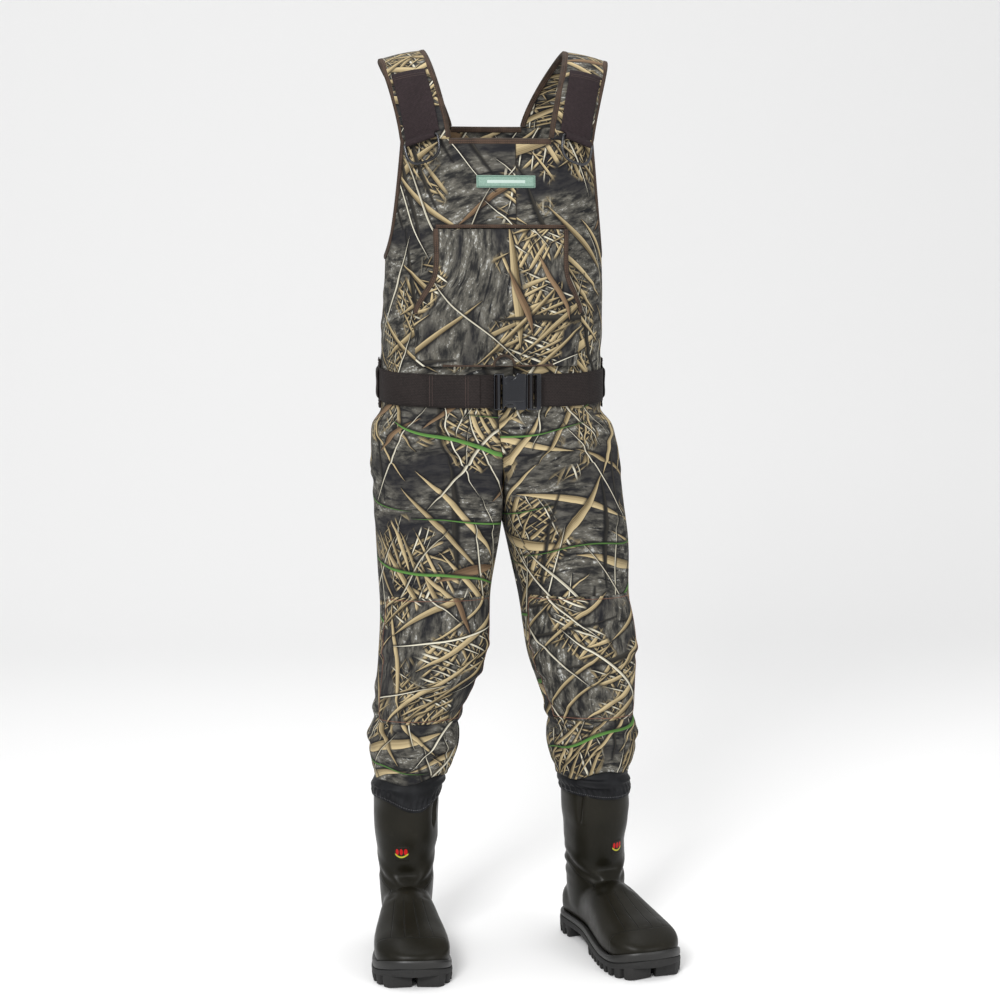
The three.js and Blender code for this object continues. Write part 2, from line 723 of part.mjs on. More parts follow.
for (const [name, side] of sides) {
  const share = webWidth / strapWidth;
  const bandU = (u) => 0.5 + (u - 0.5) * share;
  const lowEdge = (u) => 0.012 - (bandTilt / railLength) * (2 * u - 1);
  const face = (out) => (u, v) => onStrap(side, bandU(u), lerp(lowEdge(u), bandTop, v), out);
  add(name + "_strap_band", wall(4, 10, face(bandUp + webThick), face(bandUp)), brownWeb);

  // The fold of the band that holds the ring's bar, and the ring hanging from it.
  const lowInner = onStrap(side, bandU(0), lowEdge(0), bandUp + webThick / 2);
  const lowOuter = onStrap(side, bandU(1), lowEdge(1), bandUp + webThick / 2);
  const axis = lowOuter.clone().sub(lowInner).normalize();
  const { normal } = strapFrame(side, 0.5, 0.01);
  const forward = normal.clone().addScaledVector(axis, -normal.dot(axis)).normalize();
  const down = vec(0, 0, 0).crossVectors(axis, forward).multiplyScalar(side).normalize();
  if (down.z > 0) down.negate();
  const pivot = onStrap(side, 0.5, lowEdge(0.5), bandUp + webThick / 2)
    .addScaledVector(down, keeperOuter + fitGap)
    .addScaledVector(forward, keeperOuter - webThick / 2 + 1.5);
  const around = (radius, x) => (u) =>
    pivot
      .clone()
      .addScaledVector(axis, x)
      .addScaledVector(forward, radius * cos(2 * PI * u))
      .addScaledVector(down, radius * sin(2 * PI * u));
  const keeperAt = (radius) => (u, v) => around(radius, lerp(-keeperLength / 2, keeperLength / 2, v))(u);
  add(name + "_ring_keeper", wall(16, 1, keeperAt(keeperOuter), keeperAt(keeperInner), true), brownWeb);

  // The ring's centreline: a straight bar, two short corners and a half oval below it.
  const barHalf = keeperLength / 2 + 2;
  const ringHalf = barHalf + 2 * ringWire;
  const hang = down.clone().addScaledVector(forward, 0.16).normalize();
  const lift = vec(0, 0, 0).crossVectors(axis, hang).normalize();
  const line = [];
  for (let i = -2; i <= 2; i++) line.push([(barHalf * i) / 2, 0]);
  line.push([ringHalf - 0.6, ringWire * 1.2]);
  const lowest = 16;
  for (let i = 0; i <= lowest; i++) {
    const a = (PI * i) / lowest;
    line.push([ringHalf * cos(a), ringWire * 2.6 + (ringDrop - ringWire * 2.6) * sin(a) ** 0.8]);
  }
  line.push([-ringHalf + 0.6, ringWire * 1.2]);
  const spots = line.map(([x, y]) => pivot.clone().addScaledVector(axis, x).addScaledVector(hang, y));
  const rings = spots.map((spot, i) => {
    const next = spots[(i + 1) % spots.length];
    const before = spots[(i + spots.length - 1) % spots.length];
    const along = next.clone().sub(before).normalize();
    const flat = vec(0, 0, 0).crossVectors(lift, along).normalize();
    return Array.from({ length: 8 }, (_, k) => {
      const a = (2 * PI * k) / 8;
      return spot
        .clone()
        .addScaledVector(lift, ringWire * cos(a))
        .addScaledVector(flat, ringWire * sin(a));
    });
  });
  add(name + "_d_ring", skin(rings, true), darkSteel);
}

// ---------------------------------------------------------------- belt
const beltMiddle = (y) => beltZ - 7 + beltTilt * (y + waistDepth / 2);
const buckleX = sway(beltZ) + buckleShift;
const femaleLow = buckleX - buckleLength / 2;
const femaleHigh = buckleX + buckleLength / 2;
const frameLength = 25;

// The belt's face at an angle, a share of its width and a distance off the body.
function onBelt(phi, share, out) {
  const flat = onBody(phi, beltZ, out);
  flat.z = beltMiddle(flat.y) + share * webHalf;
  return flat;
}
const beltOut = layerGap + 0.5;
const beltStart = angleAt(femaleHigh + frameLength * 0.62 - sway(beltZ), beltZ, beltOut);
const beltEnd = 2 * PI + angleAt(femaleLow + 9 - sway(beltZ), beltZ, beltOut);
const beltFace = (out) => (u, v) => onBelt(lerp(beltStart, beltEnd, u), 2 * v - 1, out);
add("belt_webbing", wall(48, 1, beltFace(beltOut + webThick), beltFace(beltOut)), brownWeb);

// Belt loops at the side seams and the middle of the back: a strip that stands off over the belt.
const loopSpots = [
  ["right_belt_loop", -PI / 2],
  ["left_belt_loop", PI / 2],
  ["back_belt_loop", PI],
];
const loopFoot = layerGap + fitGap; // a loop's sewn ends off the cloth
for (const [name, phi] of loopSpots) {
  const over = beltOut + webThick + layerGap;
  const profile = [
    [-webHalf - 14, loopFoot],
    [-webHalf - 6, loopFoot],
    [-webHalf - 2, over],
    [webHalf + 2, over],
    [webHalf + 6, loopFoot],
    [webHalf + 14, loopFoot],
  ];
  const halfAngle = beltLoopWidth / waistDepth;
  const face = (thick) => (u, v) => {
    const [up, out] = profile[Math.round(v * 5)];
    const at = phi + (2 * u - 1) * (abs(cos(phi)) > 0.5 ? 0.5 : 1) * halfAngle;
    const foot = onBelt(at, 0, out + thick);
    const z = foot.z + up * (1 + (thick * 0.25) / webHalf);
    return onBody(at, abs(up) > webHalf + 3 ? z : beltZ, out + thick).setZ(z);
  };
  add(name, wall(2, 5, face(webThick), face(0)), brownWeb);
}

// ---------------------------------------------------------------- side-release buckle
// Its own frame: x along the belt from the middle of the socket half, y out from the body, z up.
const buckle = new THREE.Group();
const beltFront = bodyFront(beltZ) + beltOut + webThick;
buckle.position.set(buckleX, -beltFront - 0.6, beltMiddle(-beltFront));
waders.add(buckle);
const half = buckleLength / 2;
const rim = webHalf + buckleRim;
const slot = webHalf + fitGap;
const barHalfX = 2;
const foldOut = barHalfX + fitGap + webThick;
const fixedBar = -half + 7.5;
const cavityEnd = -half + 16;
const cavityHigh = rim - 3;
const cavityNear = 3;
const cavityFar = buckleDepth - 3;
const notch = 10.4;

// The buckle's y runs towards the viewer, which is -Y on the waders.
const buckleBlock = ([x0, y0, z0], [x1, y1, z1]) => solid(block([x0, -y1, z0], [x1, -y0, z1]));
const bar = (x, z) => buckleBlock([x - barHalfX, 3.1, -z], [x + barHalfX, 6.9, z]);

// A rounded buckle outline in x and y, extruded along z.
function rounded(x0, x1, y0, y1, z, corner) {
  const shape = new THREE.Shape();
  shape.moveTo(x0 + corner, y0);
  shape.lineTo(x1 - corner, y0);
  shape.absarc(x1 - corner, y0 + corner, corner, -PI / 2, 0);
  shape.absarc(x1 - corner, y1 - corner, corner, 0, PI / 2);
  shape.absarc(x0 + corner, y1 - corner, corner, PI / 2, PI);
  shape.absarc(x0 + corner, y0 + corner, corner, PI, 1.5 * PI);
  const geometry = new THREE.ExtrudeGeometry(shape, { depth: 2 * z, bevelEnabled: false, curveSegments: 4 });
  return geometry.translate(0, 0, -z).scale(1, -1, 1);
}
// scale(1, -1, 1) turns faces round, so they are turned back.
function flipped(geometry) {
  const points = [];
  const position = geometry.getAttribute("position");
  for (let i = 0; i < position.count; i++) points.push(vec(0, 0, 0).fromBufferAttribute(position, i));
  const faces = [];
  for (let i = 0; i < position.count; i += 3) faces.push([i, i + 1, i + 2]);
  return closed(points, faces);
}

let female = solid(flipped(rounded(-half, half, 0, buckleDepth, rim, 2.2)));
female = female.subtract(
  buckleBlock([cavityEnd, cavityNear, -cavityHigh], [half + 1, cavityFar, cavityHigh]),
);
const window = buckleBlock([fixedBar - 6, -1, -slot], [fixedBar + 6.5, 10, slot]);
female = female.subtract(window.subtract(bar(fixedBar, rim)));
for (const up of [-1, 1]) {
  const cutter = new THREE.CylinderGeometry(notch, notch, 3 * buckleDepth, 24);
  female = female.subtract(solid(cutter.translate(0, -buckleDepth / 2, up * rim)));
}
add("buckle_socket", geometryOf(female), blackPlastic, buckle);

// Webbing folded round a bar: a rounded ring as wide as the webbing.
function fold(x) {
  const ring = (grow) => (u) => {
    const a = 2 * PI * u;
    return [
      x + (barHalfX + grow) * power(cos(a), 0.6),
      5 + (1.9 + grow) * power(sin(a), 0.6),
    ];
  };
  const face = (grow) => (u, v) => {
    const [px, py] = ring(grow)(u);
    return vec(px, -py, lerp(-webHalf, webHalf, v));
  };
  return wall(20, 1, face(fitGap + webThick), face(fitGap + 0.25), true);
}
add("belt_fixed_fold", fold(fixedBar), brownWeb, buckle);

const frameStart = half + 2 * fitGap;
const frameEnd = frameStart + frameLength - 0.6;
const openLow = frameStart + 2.6;
const openHigh = frameEnd - 7.5;
const adjustBar = openLow + foldOut + 0.8;
let plug = solid(flipped(rounded(frameStart, frameEnd, 0.8, buckleDepth - 1.6, rim, 1.6)));
const opening = buckleBlock([openLow, -1, -slot], [openHigh, buckleDepth + 1, slot]);
plug = plug.subtract(opening.subtract(bar(adjustBar, rim)));
const tongueHalf = 9;
const tongueFree = 0.8;
plug = plug.add(
  buckleBlock(
    [cavityEnd + 1.5, cavityNear + tongueFree, -tongueHalf],
    [frameStart + 1, cavityFar - tongueFree, tongueHalf],
  ),
);
add("buckle_plug", geometryOf(plug), blackPlastic, buckle);
add("belt_adjuster_fold", fold(adjustBar), brownWeb, buckle);

// A release prong: a thin arm from the plug that swells to a thumb pad in the socket's notch.
const prongRoot = frameStart - 0.6;
const prongTip = cavityEnd + 0.8;
const padTop = cavityHigh - 0.5;
for (const [name, up] of [
  ["upper_release_prong", 1],
  ["lower_release_prong", -1],
]) {
  const shape = new THREE.Shape();
  shape.moveTo(prongRoot, 18.5);
  shape.lineTo(prongRoot, 22.5);
  shape.quadraticCurveTo(12, 22.5, 9, padTop - 1.5);
  shape.quadraticCurveTo(6, padTop, 0, padTop);
  shape.quadraticCurveTo(-6, padTop, prongTip, padTop - 6);
  shape.lineTo(prongTip, 15.5);
  shape.quadraticCurveTo(2, 14.5, 9, 17);
  shape.quadraticCurveTo(15, 18.5, prongRoot, 18.5);
  const depth = cavityFar - cavityNear - 0.8;
  const arm = new THREE.ExtrudeGeometry(shape, { depth, bevelEnabled: false, curveSegments: 5 });
  arm.translate(0, 0, cavityNear + 0.4);
  const position = arm.getAttribute("position");
  const points = [];
  for (let i = 0; i < position.count; i++) {
    points.push(vec(position.getX(i), -position.getZ(i), up * position.getY(i)));
  }
  const faces = [];
  for (let i = 0; i < position.count; i += 3) faces.push([i, i + 1, i + 2]);
  add(name, closed(points, faces), blackPlastic, buckle);
}

// ---------------------------------------------------------------- boots
const soleTop = through([
  [-heelBack, 30],
  [0, 29],
  [60, 26],
  [130, 21],
  [200, 22],
  [toeFront, 32],
]);
const footHalf = through([
  [-heelBack, heelWidth / 2],
  [-20, heelWidth / 2 - 1],
  [40, heelWidth / 2 - 1],
  [100, lerp(heelWidth, ballWidth, 0.47) / 2],
  [155, ballWidth / 2 - 1],
  [200, ballWidth / 2],
  [toeFront, toeWidth / 2],
]);
const footHigh = through([
  [-heelBack, instepHigh - 34],
  [-40, instepHigh - 16],
  [30, instepHigh],
  [70, instepHigh],
  [110, lerp(instepHigh, ballHigh, 0.46)],
  [155, ballHigh],
  [200, lerp(ballHigh, toeHigh, 0.38)],
  [toeFront, toeHigh],
]);
const heelRound = 40;
const toeRound = 62;
const footSpan = toeFront + heelBack;

// Half of the foot's width at a distance s in front of the ankle, with its rounded heel and toe.
function footWidth(s, out = 0) {
  const back = clamp((-heelBack + heelRound - s) / (heelRound + out), 0, 1);
  const front = clamp((s - toeFront + toeRound) / (toeRound + out), 0, 1);
  return (footHalf(s) + out) * sqrt(max(0, 1 - back * back)) * (1 - front ** 2.5) ** 0.4;
}
// The inside of the foot is straighter than the outside, so the foot curves towards the other foot.
const footBend = (s, side) => -side * 7 * clamp(s / toeFront, -0.3, 1) ** 2;

// Places along the foot, closer together at the heel and toe.
const footRows = 13;
function station(share, out) {
  return -heelBack - out + (footSpan + 2 * out) * (0.5 - 0.5 * cos(PI * clamp(share, 0.012, 0.988)));
}

function footRings(side, out, lift, lower) {
  const rings = [];
  for (let j = 0; j <= footRows; j++) {
    const s = station(j / footRows, out);
    const inside = clamp(s, -heelBack, toeFront);
    const base = soleTop(inside) + lift;
    const top = footHigh(inside) + lower;
    const ends = footWidth(s, out) / (footHalf(inside) + out);
    const high = (top - base) / 2;
    rings.push(
      Array.from({ length: 16 }, (_, k) => {
        const a = (2 * PI * k) / 16;
        const tall = high * lerp(0.45, 1, ends ** 0.8);
        return vec(
          footBend(inside, side) + footWidth(s, out) * power(cos(a), 0.8),
          -s,
          base + tall + tall * power(sin(a), 0.75),
        );
      }),
    );
  }
  return rings;
}

const shaftHalf = through([
  [60, ankleWidth / 2 - 4],
  [110, ankleWidth / 2],
  [150, ankleWidth / 2 + 1],
  [200, shaftWidth / 2 - 2],
  [bootHeight, shaftWidth / 2],
]);
const shaftDeep = through([
  [60, shaftDepth / 2 - 6],
  [110, shaftDepth / 2 - 2],
  [150, shaftDepth / 2 - 5],
  [200, shaftDepth / 2 - 1],
  [bootHeight, shaftDepth / 2],
]);
const shaftShift = through([
  [60, -2],
  [110, -4],
  [150, 0],
  [bootHeight, 0],
]);
function shaftPoint(phi, z, out) {
  return vec(
    (shaftHalf(z) + out) * power(sin(phi), 0.9),
    shaftShift(z) - (shaftDeep(z) + out) * power(cos(phi), 0.9),
    z,
  );
}
function shaftRings(out, low, high) {
  const rows = 5;
  return Array.from({ length: rows + 1 }, (_, j) =>
    Array.from({ length: 16 }, (_, k) => shaftPoint((2 * PI * k) / 16, lerp(low, high, j / rows), out)),
  );
}

// A closed walk round the foot's plan, u from 0 to 1.
function footPlan(side, u, out) {
  const outer = u < 0.5;
  const s = station(outer ? 2 * u : 2 - 2 * u, out);
  const inside = clamp(s, -heelBack, toeFront);
  return [footBend(inside, side) + (outer ? 1 : -1) * footWidth(s, out), -s, inside];
}

// A layer under or inside the foot between two heights over the sole's top, level across the foot.
function footLayer(side, out, low, high) {
  const rings = steps(footRows, (share) => {
    const s = station(share, out);
    const inside = clamp(s, -heelBack, toeFront);
    const wide = footWidth(s, out);
    return [
      [-1, low],
      [1, low],
      [1, high],
      [-1, high],
    ].map(([way, level]) => vec(footBend(inside, side) + way * wide, -s, soleTop(inside) + level));
  });
  return skin(rings);
}

// The joint between shaft and foot rises towards the instep.
const jointHigh = 118;
const jointSlope = -0.16;
function cutBelow(gap) {
  const box = new THREE.BoxGeometry(600, 600, 400).translate(0, 0, -200);
  return solid(box.rotateX(Math.atan(jointSlope)).translate(0, 0, jointHigh + gap));
}

for (const [name, side] of sides) {
  const boot = new THREE.Group();
  boot.position.set((side * ankleSpan) / 2, -ankleForward, 0);
  boot.rotation.z = side * degToRad(toeOut[name]);
  waders.add(boot);

  const outside = solid(skin(footRings(side, 0, fitGap, 0))).add(
    solid(skin(shaftRings(0, 60, bootHeight))),
  );
  const hollow = solid(skin(footRings(side, -bootWall, 3, -bootWall))).add(
    solid(skin(shaftRings(-bootWall, 62, bootHeight + 5))),
  );
  const upper = outside.subtract(hollow);
  add(name + "_boot_foot", geometryOf(upper.intersect(cutBelow(0))), rubber, boot);
  add(name + "_boot_shaft", geometryOf(upper.subtract(cutBelow(fitGap))), rubber, boot);

  // The rubber strip round the foot above the sole.
  const strip = (out) => (u, v) => {
    const [x, y, s] = footPlan(side, u, out);
    return vec(x, y, soleTop(s) + lerp(0.6, 15, v));
  };
  const foxing = solid(wall(2 * footRows, 1, strip(3.2), strip(0.4), true));
  const footFree = solid(skin(footRings(side, 0.5, fitGap, 0.5)));
  add(name + "_foot_foxing", geometryOf(foxing.subtract(footFree)), rubber, boot);

  // Outsole: a slab under the foot, with a heel block and cross bars cut to its outline and parted down
  // the middle.
  const slab = solid(footLayer(side, soleRim, -soleSlab, 0));
  const plan = solid(
    prism([0, 40].map((z) => Array.from({ length: 2 * footRows }, (_, k) => {
      const [x, y] = footPlan(side, k / (2 * footRows), soleRim);
      return vec(x, y, z);
    }))),
  );
  let lugs = null;
  const bars = [
    ...steps(heelLugs - 1, (share) => lerp(-heelBack - 3, heelBreast - lugLength - 6.5, share)),
    ...steps(toeLugs - 1, (share) => lerp(archEnd, toeFront - lugPitch, share)),
  ];
  for (const s of bars) {
    const high = soleTop(clamp(s + 6, -heelBack, toeFront)) - slabOverlap;
    const oneBar = solid(block([-80, -s - lugLength, 0], [80, -s, high]));
    lugs = lugs ? lugs.add(oneBar) : oneBar;
  }
  const heelTop = soleTop(-20) - slabOverlap;
  const heelCore = solid(block([-80, -heelBreast + 8, lugDepth], [80, heelBack + 4, heelTop]));
  const groove = solid(block([-4, -toeFront - 10, -1], [4, heelBack + 10, lugDepth]));
  const tread = lugs.add(heelCore).intersect(plan).subtract(groove);
  add(name + "_outsole", geometryOf(slab.add(tread)), soleRubber, boot);

  // Footbed inside the foot, lying in the hollow with a clearance.
  const hollowFree = solid(skin(footRings(side, -bootWall - 2 * fitGap, 3 + 2 * fitGap, -bootWall - 1)));
  const bed = hollowFree.intersect(solid(footLayer(side, 0, 2, 9)));
  add(name + "_insole", geometryOf(bed), footbed, boot);

  // The ledge at the back of the heel that the other foot holds down.
  const ledge = skin(
    [-1, 0, 1].map((x) => {
      const stick = 9 - 3 * abs(x);
      return [
        vec(x * 17, heelBack + 3 - 5 * abs(x), 58),
        vec(x * 17, heelBack + 2 + stick - 5 * abs(x), 60),
        vec(x * 17, heelBack + 2 + stick - 5 * abs(x), 65),
        vec(x * 17, heelBack + 2.5 - 5 * abs(x), 71),
      ];
    }),
  );
  add(name + "_heel_ledge", ledge, rubber, boot);

  // A printed badge on the front of the shaft.
  const badge = (out) => (u, v) => shaftPoint((2 * u - 1) * 0.42 + side * 0.35, lerp(158, 182, v), out);
  add(name + "_boot_badge", wall(4, 1, badge(2.9), badge(1.9)), printRed, boot);

  // The gathered cuff between the boot and the leg. Its lower end turns with the boot.
  const turn = boot.rotation.z;
  const cuffFace = (out) => (u, v) => {
    const low = shaftPoint(2 * PI * u, bootHeight, out + 1);
    low.applyAxisAngle(vec(0, 0, 1), turn).add(boot.position);
    const high = onLeg(side, 2 * PI * u + 1e-6, cuffTopZ - 1, out);
    const p = low.lerp(high, v);
    return p.setZ(lerp(bootHeight + 1, cuffTopZ - 1, v));
  };
  add(name + "_cuff", wall(20, 2, cuffFace(1), cuffFace(-3), true), blackCloth);
}

// The origin is at the middle of the whole, on the ground.
const bounds = new THREE.Box3().setFromObject(waders);
const middle = bounds.getCenter(vec(0, 0, 0));
waders.position.set(-middle.x, -middle.y, -bounds.min.z);

export default waders;
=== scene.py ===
import math

import bmesh
import bpy
import numpy as np
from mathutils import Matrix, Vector


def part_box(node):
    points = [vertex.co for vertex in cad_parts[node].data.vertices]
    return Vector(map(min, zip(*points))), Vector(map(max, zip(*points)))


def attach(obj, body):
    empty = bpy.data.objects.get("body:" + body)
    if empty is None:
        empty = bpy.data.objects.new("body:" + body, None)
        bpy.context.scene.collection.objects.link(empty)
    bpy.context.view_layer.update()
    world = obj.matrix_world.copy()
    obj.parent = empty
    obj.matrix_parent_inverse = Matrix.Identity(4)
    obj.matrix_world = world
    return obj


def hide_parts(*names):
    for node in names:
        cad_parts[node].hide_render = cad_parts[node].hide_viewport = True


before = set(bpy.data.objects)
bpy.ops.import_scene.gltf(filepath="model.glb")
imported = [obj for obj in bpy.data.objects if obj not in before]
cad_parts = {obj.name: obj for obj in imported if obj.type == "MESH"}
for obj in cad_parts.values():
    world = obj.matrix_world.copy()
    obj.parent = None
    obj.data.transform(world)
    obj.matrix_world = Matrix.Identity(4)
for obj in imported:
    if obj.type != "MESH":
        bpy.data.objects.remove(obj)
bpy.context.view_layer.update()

pi = math.pi

# ------------------------------------------------------------------ where things are
# Nominal lengths in metres, with the body's middle at x = 0, y = 0. SHIFT takes them into the frame.
GROUND_SIDES = {"right": -1, "left": 1}


def low(node):
    return Vector(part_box(node)[0])


def high(node):
    return Vector(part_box(node)[1])


def centre(node):
    return (low(node) + high(node)) / 2


BELT_SWAY = -0.016
SHIFT = np.array([centre("back_belt_loop").x - BELT_SWAY, centre("right_belt_loop").y, 0.0])

BOOT_H = high("right_boot_shaft").z
CROTCH_Z = high("right_leg").z + 0.0006
BELT_Z = high("right_hip_panel").z + 0.0003
CHEST_Z = high("bib_front_panel").z
BACK_Z = high("bib_back_panel").z
CREST_Z = CHEST_Z + 0.148
UNDERARM_Z = CHEST_Z - 0.183
KNEE_Z = BOOT_H + 0.42 * (CROTCH_Z - BOOT_H)
CUFF_TOP = high("right_cuff").z
SQ = 2.4
NEO = 0.005


def through(rows):
    """A smooth curve through rows of (at, value), for arrays."""
    xs = np.array([r[0] for r in rows], float)
    ys = np.array([r[1] for r in rows], float)
    n = len(rows)
    slopes = np.array(
        [(ys[min(i + 1, n - 1)] - ys[max(i - 1, 0)]) / (xs[min(i + 1, n - 1)] - xs[max(i - 1, 0)])
            for i in range(n)]
    )

    def value(at):
        x = np.clip(np.asarray(at, float), xs[0], xs[-1])
        i = np.clip(np.searchsorted(xs, x, "left"), 1, n - 1)
        h = xs[i] - xs[i - 1]
        t = (x - xs[i - 1]) / h
        return (
            ys[i - 1] * (1 + 2 * t) * (1 - t) ** 2
            + slopes[i - 1] * h * t * (1 - t) ** 2
            + ys[i] * t * t * (3 - 2 * t)
            + slopes[i] * h * t * t * (t - 1)
        )

    return value


def lerp(a, b, t):
    return a + (b - a) * t


def power(x, e):
    return np.sign(x) * np.abs(x) ** e


def smooth(lo, hi, x):
    t = np.clip((x - lo) / (hi - lo), 0, 1)
    return t * t * (3 - 2 * t)


# ------------------------------------------------------------------ sections of the body and legs
sway = through([
    (0, 0), (lerp(BOOT_H, KNEE_Z, 0.4), 0.003), (KNEE_Z, 0.010), (lerp(KNEE_Z, CROTCH_Z, 0.72), 0),
    (lerp(CROTCH_Z, BELT_Z, 0.4), -0.013), (BELT_Z, -0.016), (UNDERARM_Z, -0.012), (CREST_Z, -0.012),
])
body_half = through([
    (CROTCH_Z, 0.209), (lerp(CROTCH_Z, BELT_Z, 0.35), 0.207), (lerp(CROTCH_Z, BELT_Z, 0.7), 0.202),
    (BELT_Z, 0.185), (lerp(BELT_Z, UNDERARM_Z, 0.3), 0.185), (UNDERARM_Z, 0.180), (BACK_Z, 0.177),
])
body_front = through([
    (CROTCH_Z, 0.133), (lerp(CROTCH_Z, BELT_Z, 0.4), 0.135), (lerp(CROTCH_Z, BELT_Z, 0.75), 0.130),
    (BELT_Z, 0.120), (lerp(BELT_Z, UNDERARM_Z, 0.25), 0.122), (UNDERARM_Z, 0.134),
    (lerp(UNDERARM_Z, CHEST_Z, 0.5), 0.132), (CHEST_Z, 0.122), (BACK_Z, 0.118),
])
body_back = through([
    (CROTCH_Z, 0.136), (lerp(CROTCH_Z, BELT_Z, 0.4), 0.139), (BELT_Z, 0.120),
    (lerp(BELT_Z, UNDERARM_Z, 0.3), 0.120), (UNDERARM_Z, 0.130), (lerp(UNDERARM_Z, BACK_Z, 0.6), 0.132),
    (BACK_Z, 0.124),
])
GRIP, EASE = 0.042, 0.110


def gripped(z):
    """The belt draws the body in to one even section over its own width."""
    away = z - BELT_Z
    near = BELT_Z + np.sign(away) * np.maximum(0, np.abs(away) - GRIP) * (EASE / (EASE - GRIP))
    return np.where(np.abs(away) > EASE, z, near)


def on_body(phi, z, out=0.0):
    """phi is 0 at the front and grows towards the wearer's left."""
    level = gripped(z)
    deep = np.where(np.cos(phi) >= 0, body_front(level), body_back(level))
    x = sway(level) + (body_half(level) + out) * power(np.sin(phi), 2 / SQ)
    y = -(deep + out) * power(np.cos(phi), 2 / SQ)
    return np.stack([x, y, z + 0 * x], -1) + SHIFT


def angle_at(x, z, out=0.0):
    share = np.clip(x / (body_half(gripped(z)) + out), -1, 1)
    return np.arcsin(power(share, SQ / 2))


def leg_z(share):
    return lerp(BOOT_H, CROTCH_Z, share)


leg_centre = through([
    (0, 0.162), (leg_z(0.07), 0.155), (leg_z(0.25), lerp(0.324, 0.254, 0.45) / 2), (leg_z(0.42), 0.127),
    (leg_z(0.72), lerp(0.254, 0.214, 0.7) / 2), (leg_z(0.86), 0.107), (CROTCH_Z, 0.107),
])
leg_half = through([
    (BOOT_H, 0.058), (leg_z(0.07), 0.061), (leg_z(0.15), 0.069), (leg_z(0.25), 0.072), (leg_z(0.42), 0.091),
    (leg_z(0.6), 0.093), (leg_z(0.85), 0.106), (CROTCH_Z, 0.106),
])
leg_deep = through([
    (BOOT_H, 0.065), (leg_z(0.07), 0.068), (leg_z(0.25), 0.077), (leg_z(0.42), 0.090), (leg_z(0.6), 0.097),
    (leg_z(0.85), 0.121), (CROTCH_Z, 0.134),
])
leg_forward = through([(BOOT_H, 0.008), (leg_z(0.25), 0.006), (leg_z(0.42), 0.016), (leg_z(0.7), 0.006),
    (CROTCH_Z, 0)])
inner_sq = through([(leg_z(0.55), 2.3), (leg_z(0.85), 5), (CROTCH_Z, 14)])


def on_leg(side, phi, z, out=0.0):
    """phi is 0 at the front and grows towards the wearer's left. The top joins half of the hips' section."""
    phi, z = np.broadcast_arrays(np.asarray(phi, float), np.asarray(z, float))
    outward = side * np.sin(phi) > 0
    e = 2 / np.where(outward, SQ, inner_sq(z))
    x = side * leg_centre(z) + (leg_half(z) + out) * power(np.sin(phi), e)
    y = -leg_forward(z) - (leg_deep(z) + out) * power(np.cos(phi), e)
    half = body_half(z) + out
    reach = np.where(outward, half - leg_centre(z), leg_half(z) + out)
    across = leg_centre(z) + side * reach * power(np.sin(phi), e)
    deep = np.where(np.cos(phi) >= 0, body_front(z), body_back(z)) + out
    bowed = deep * np.maximum(0, 1 - np.abs(across / half) ** SQ) ** (1 / SQ)
    hy = np.where(outward, -np.sign(np.cos(phi)) * bowed, -bowed * power(np.cos(phi), e))
    w = smooth(leg_z(0.76), CROTCH_Z, z)
    return np.stack([lerp(x, side * across, w) + sway(z), lerp(y, hy, w), z], -1) + SHIFT


# ------------------------------------------------------------------ folds
def crease(a, z, stroke):
    """Height of one soft fold at surface places (a, z) in metres: a bowed ridge over a valley."""
    a0, z0, a1, z1, deep, wide, bow = stroke
    ax, az = a1 - a0, z1 - z0
    length = math.hypot(ax, az)
    tx, tz = ax / length, az / length
    s = ((a - a0) * tx + (z - z0) * tz) / length
    d = (a - a0) * -tz + (z - z0) * tx - bow * (1 - (2 * s - 1) ** 2)
    along = smooth(-0.05, 0.35, s) * (1 - smooth(0.6, 1.05, s))
    x = d / wide
    return deep * along * (np.exp(-((x - 0.9) ** 2)) - 0.9 * np.exp(-((x / 0.8) ** 2)))


def folds(a, z, strokes):
    total = np.zeros(np.broadcast(a, z).shape)
    for stroke in strokes:
        total = total + crease(a, z, stroke)
    return total


def slack(a, z, size, amount, seed):
    """Small rolling unevenness of thick cloth."""
    rng = np.random.default_rng(seed)
    total = 0
    for _ in range(9):
        k = rng.normal(0, 1, 2) / size
        total = total + np.sin(k[0] * a + k[1] * z + rng.uniform(0, 2 * pi))
    return amount * total / 3


TORSO_STROKES = [
    (-0.17, 1.02, -0.06, 1.045, 0.0020, 0.010, 0.008), (0.06, 1.05, 0.17, 1.02, 0.0020, 0.010, 0.008),
    (-0.19, 1.10, -0.12, 1.15, 0.0022, 0.012, 0.006), (0.13, 1.09, 0.20, 1.14, 0.0022, 0.012, -0.006),
    (-0.20, 1.005, -0.13, 1.012, 0.0018, 0.008, 0.0), (0.12, 1.012, 0.2, 1.003, 0.0018, 0.008, 0.0),
    (0.24, 1.03, 0.42, 1.05, 0.003, 0.012, 0.01), (-0.42, 1.05, -0.24, 1.03, 0.003, 0.012, 0.01),
    (0.25, 1.09, 0.40, 1.07, 0.003, 0.012, 0.01), (-0.40, 1.07, -0.25, 1.09, 0.003, 0.012, 0.01),
    (-0.1, 1.012, 0.0, 1.0, 0.0012, 0.007, 0.004),
]


def body_lift(phi, z):
    """How far the cloth of the bib stands off its plain section."""
    a = phi * 0.165
    lift = folds(a, z, TORSO_STROKES) + slack(a, z, 0.05, 0.0011, 3)
    return lift * smooth(BELT_Z + 0.032, BELT_Z + 0.07, z) * (1 - smooth(CHEST_Z - 0.06, CHEST_Z - 0.01, z))


# ------------------------------------------------------------------ mesh helpers
def clear_selection():
    if bpy.context.object and bpy.context.object.mode != "OBJECT":
        bpy.ops.object.mode_set(mode="OBJECT")
    bpy.ops.object.select_all(action="DESELECT")


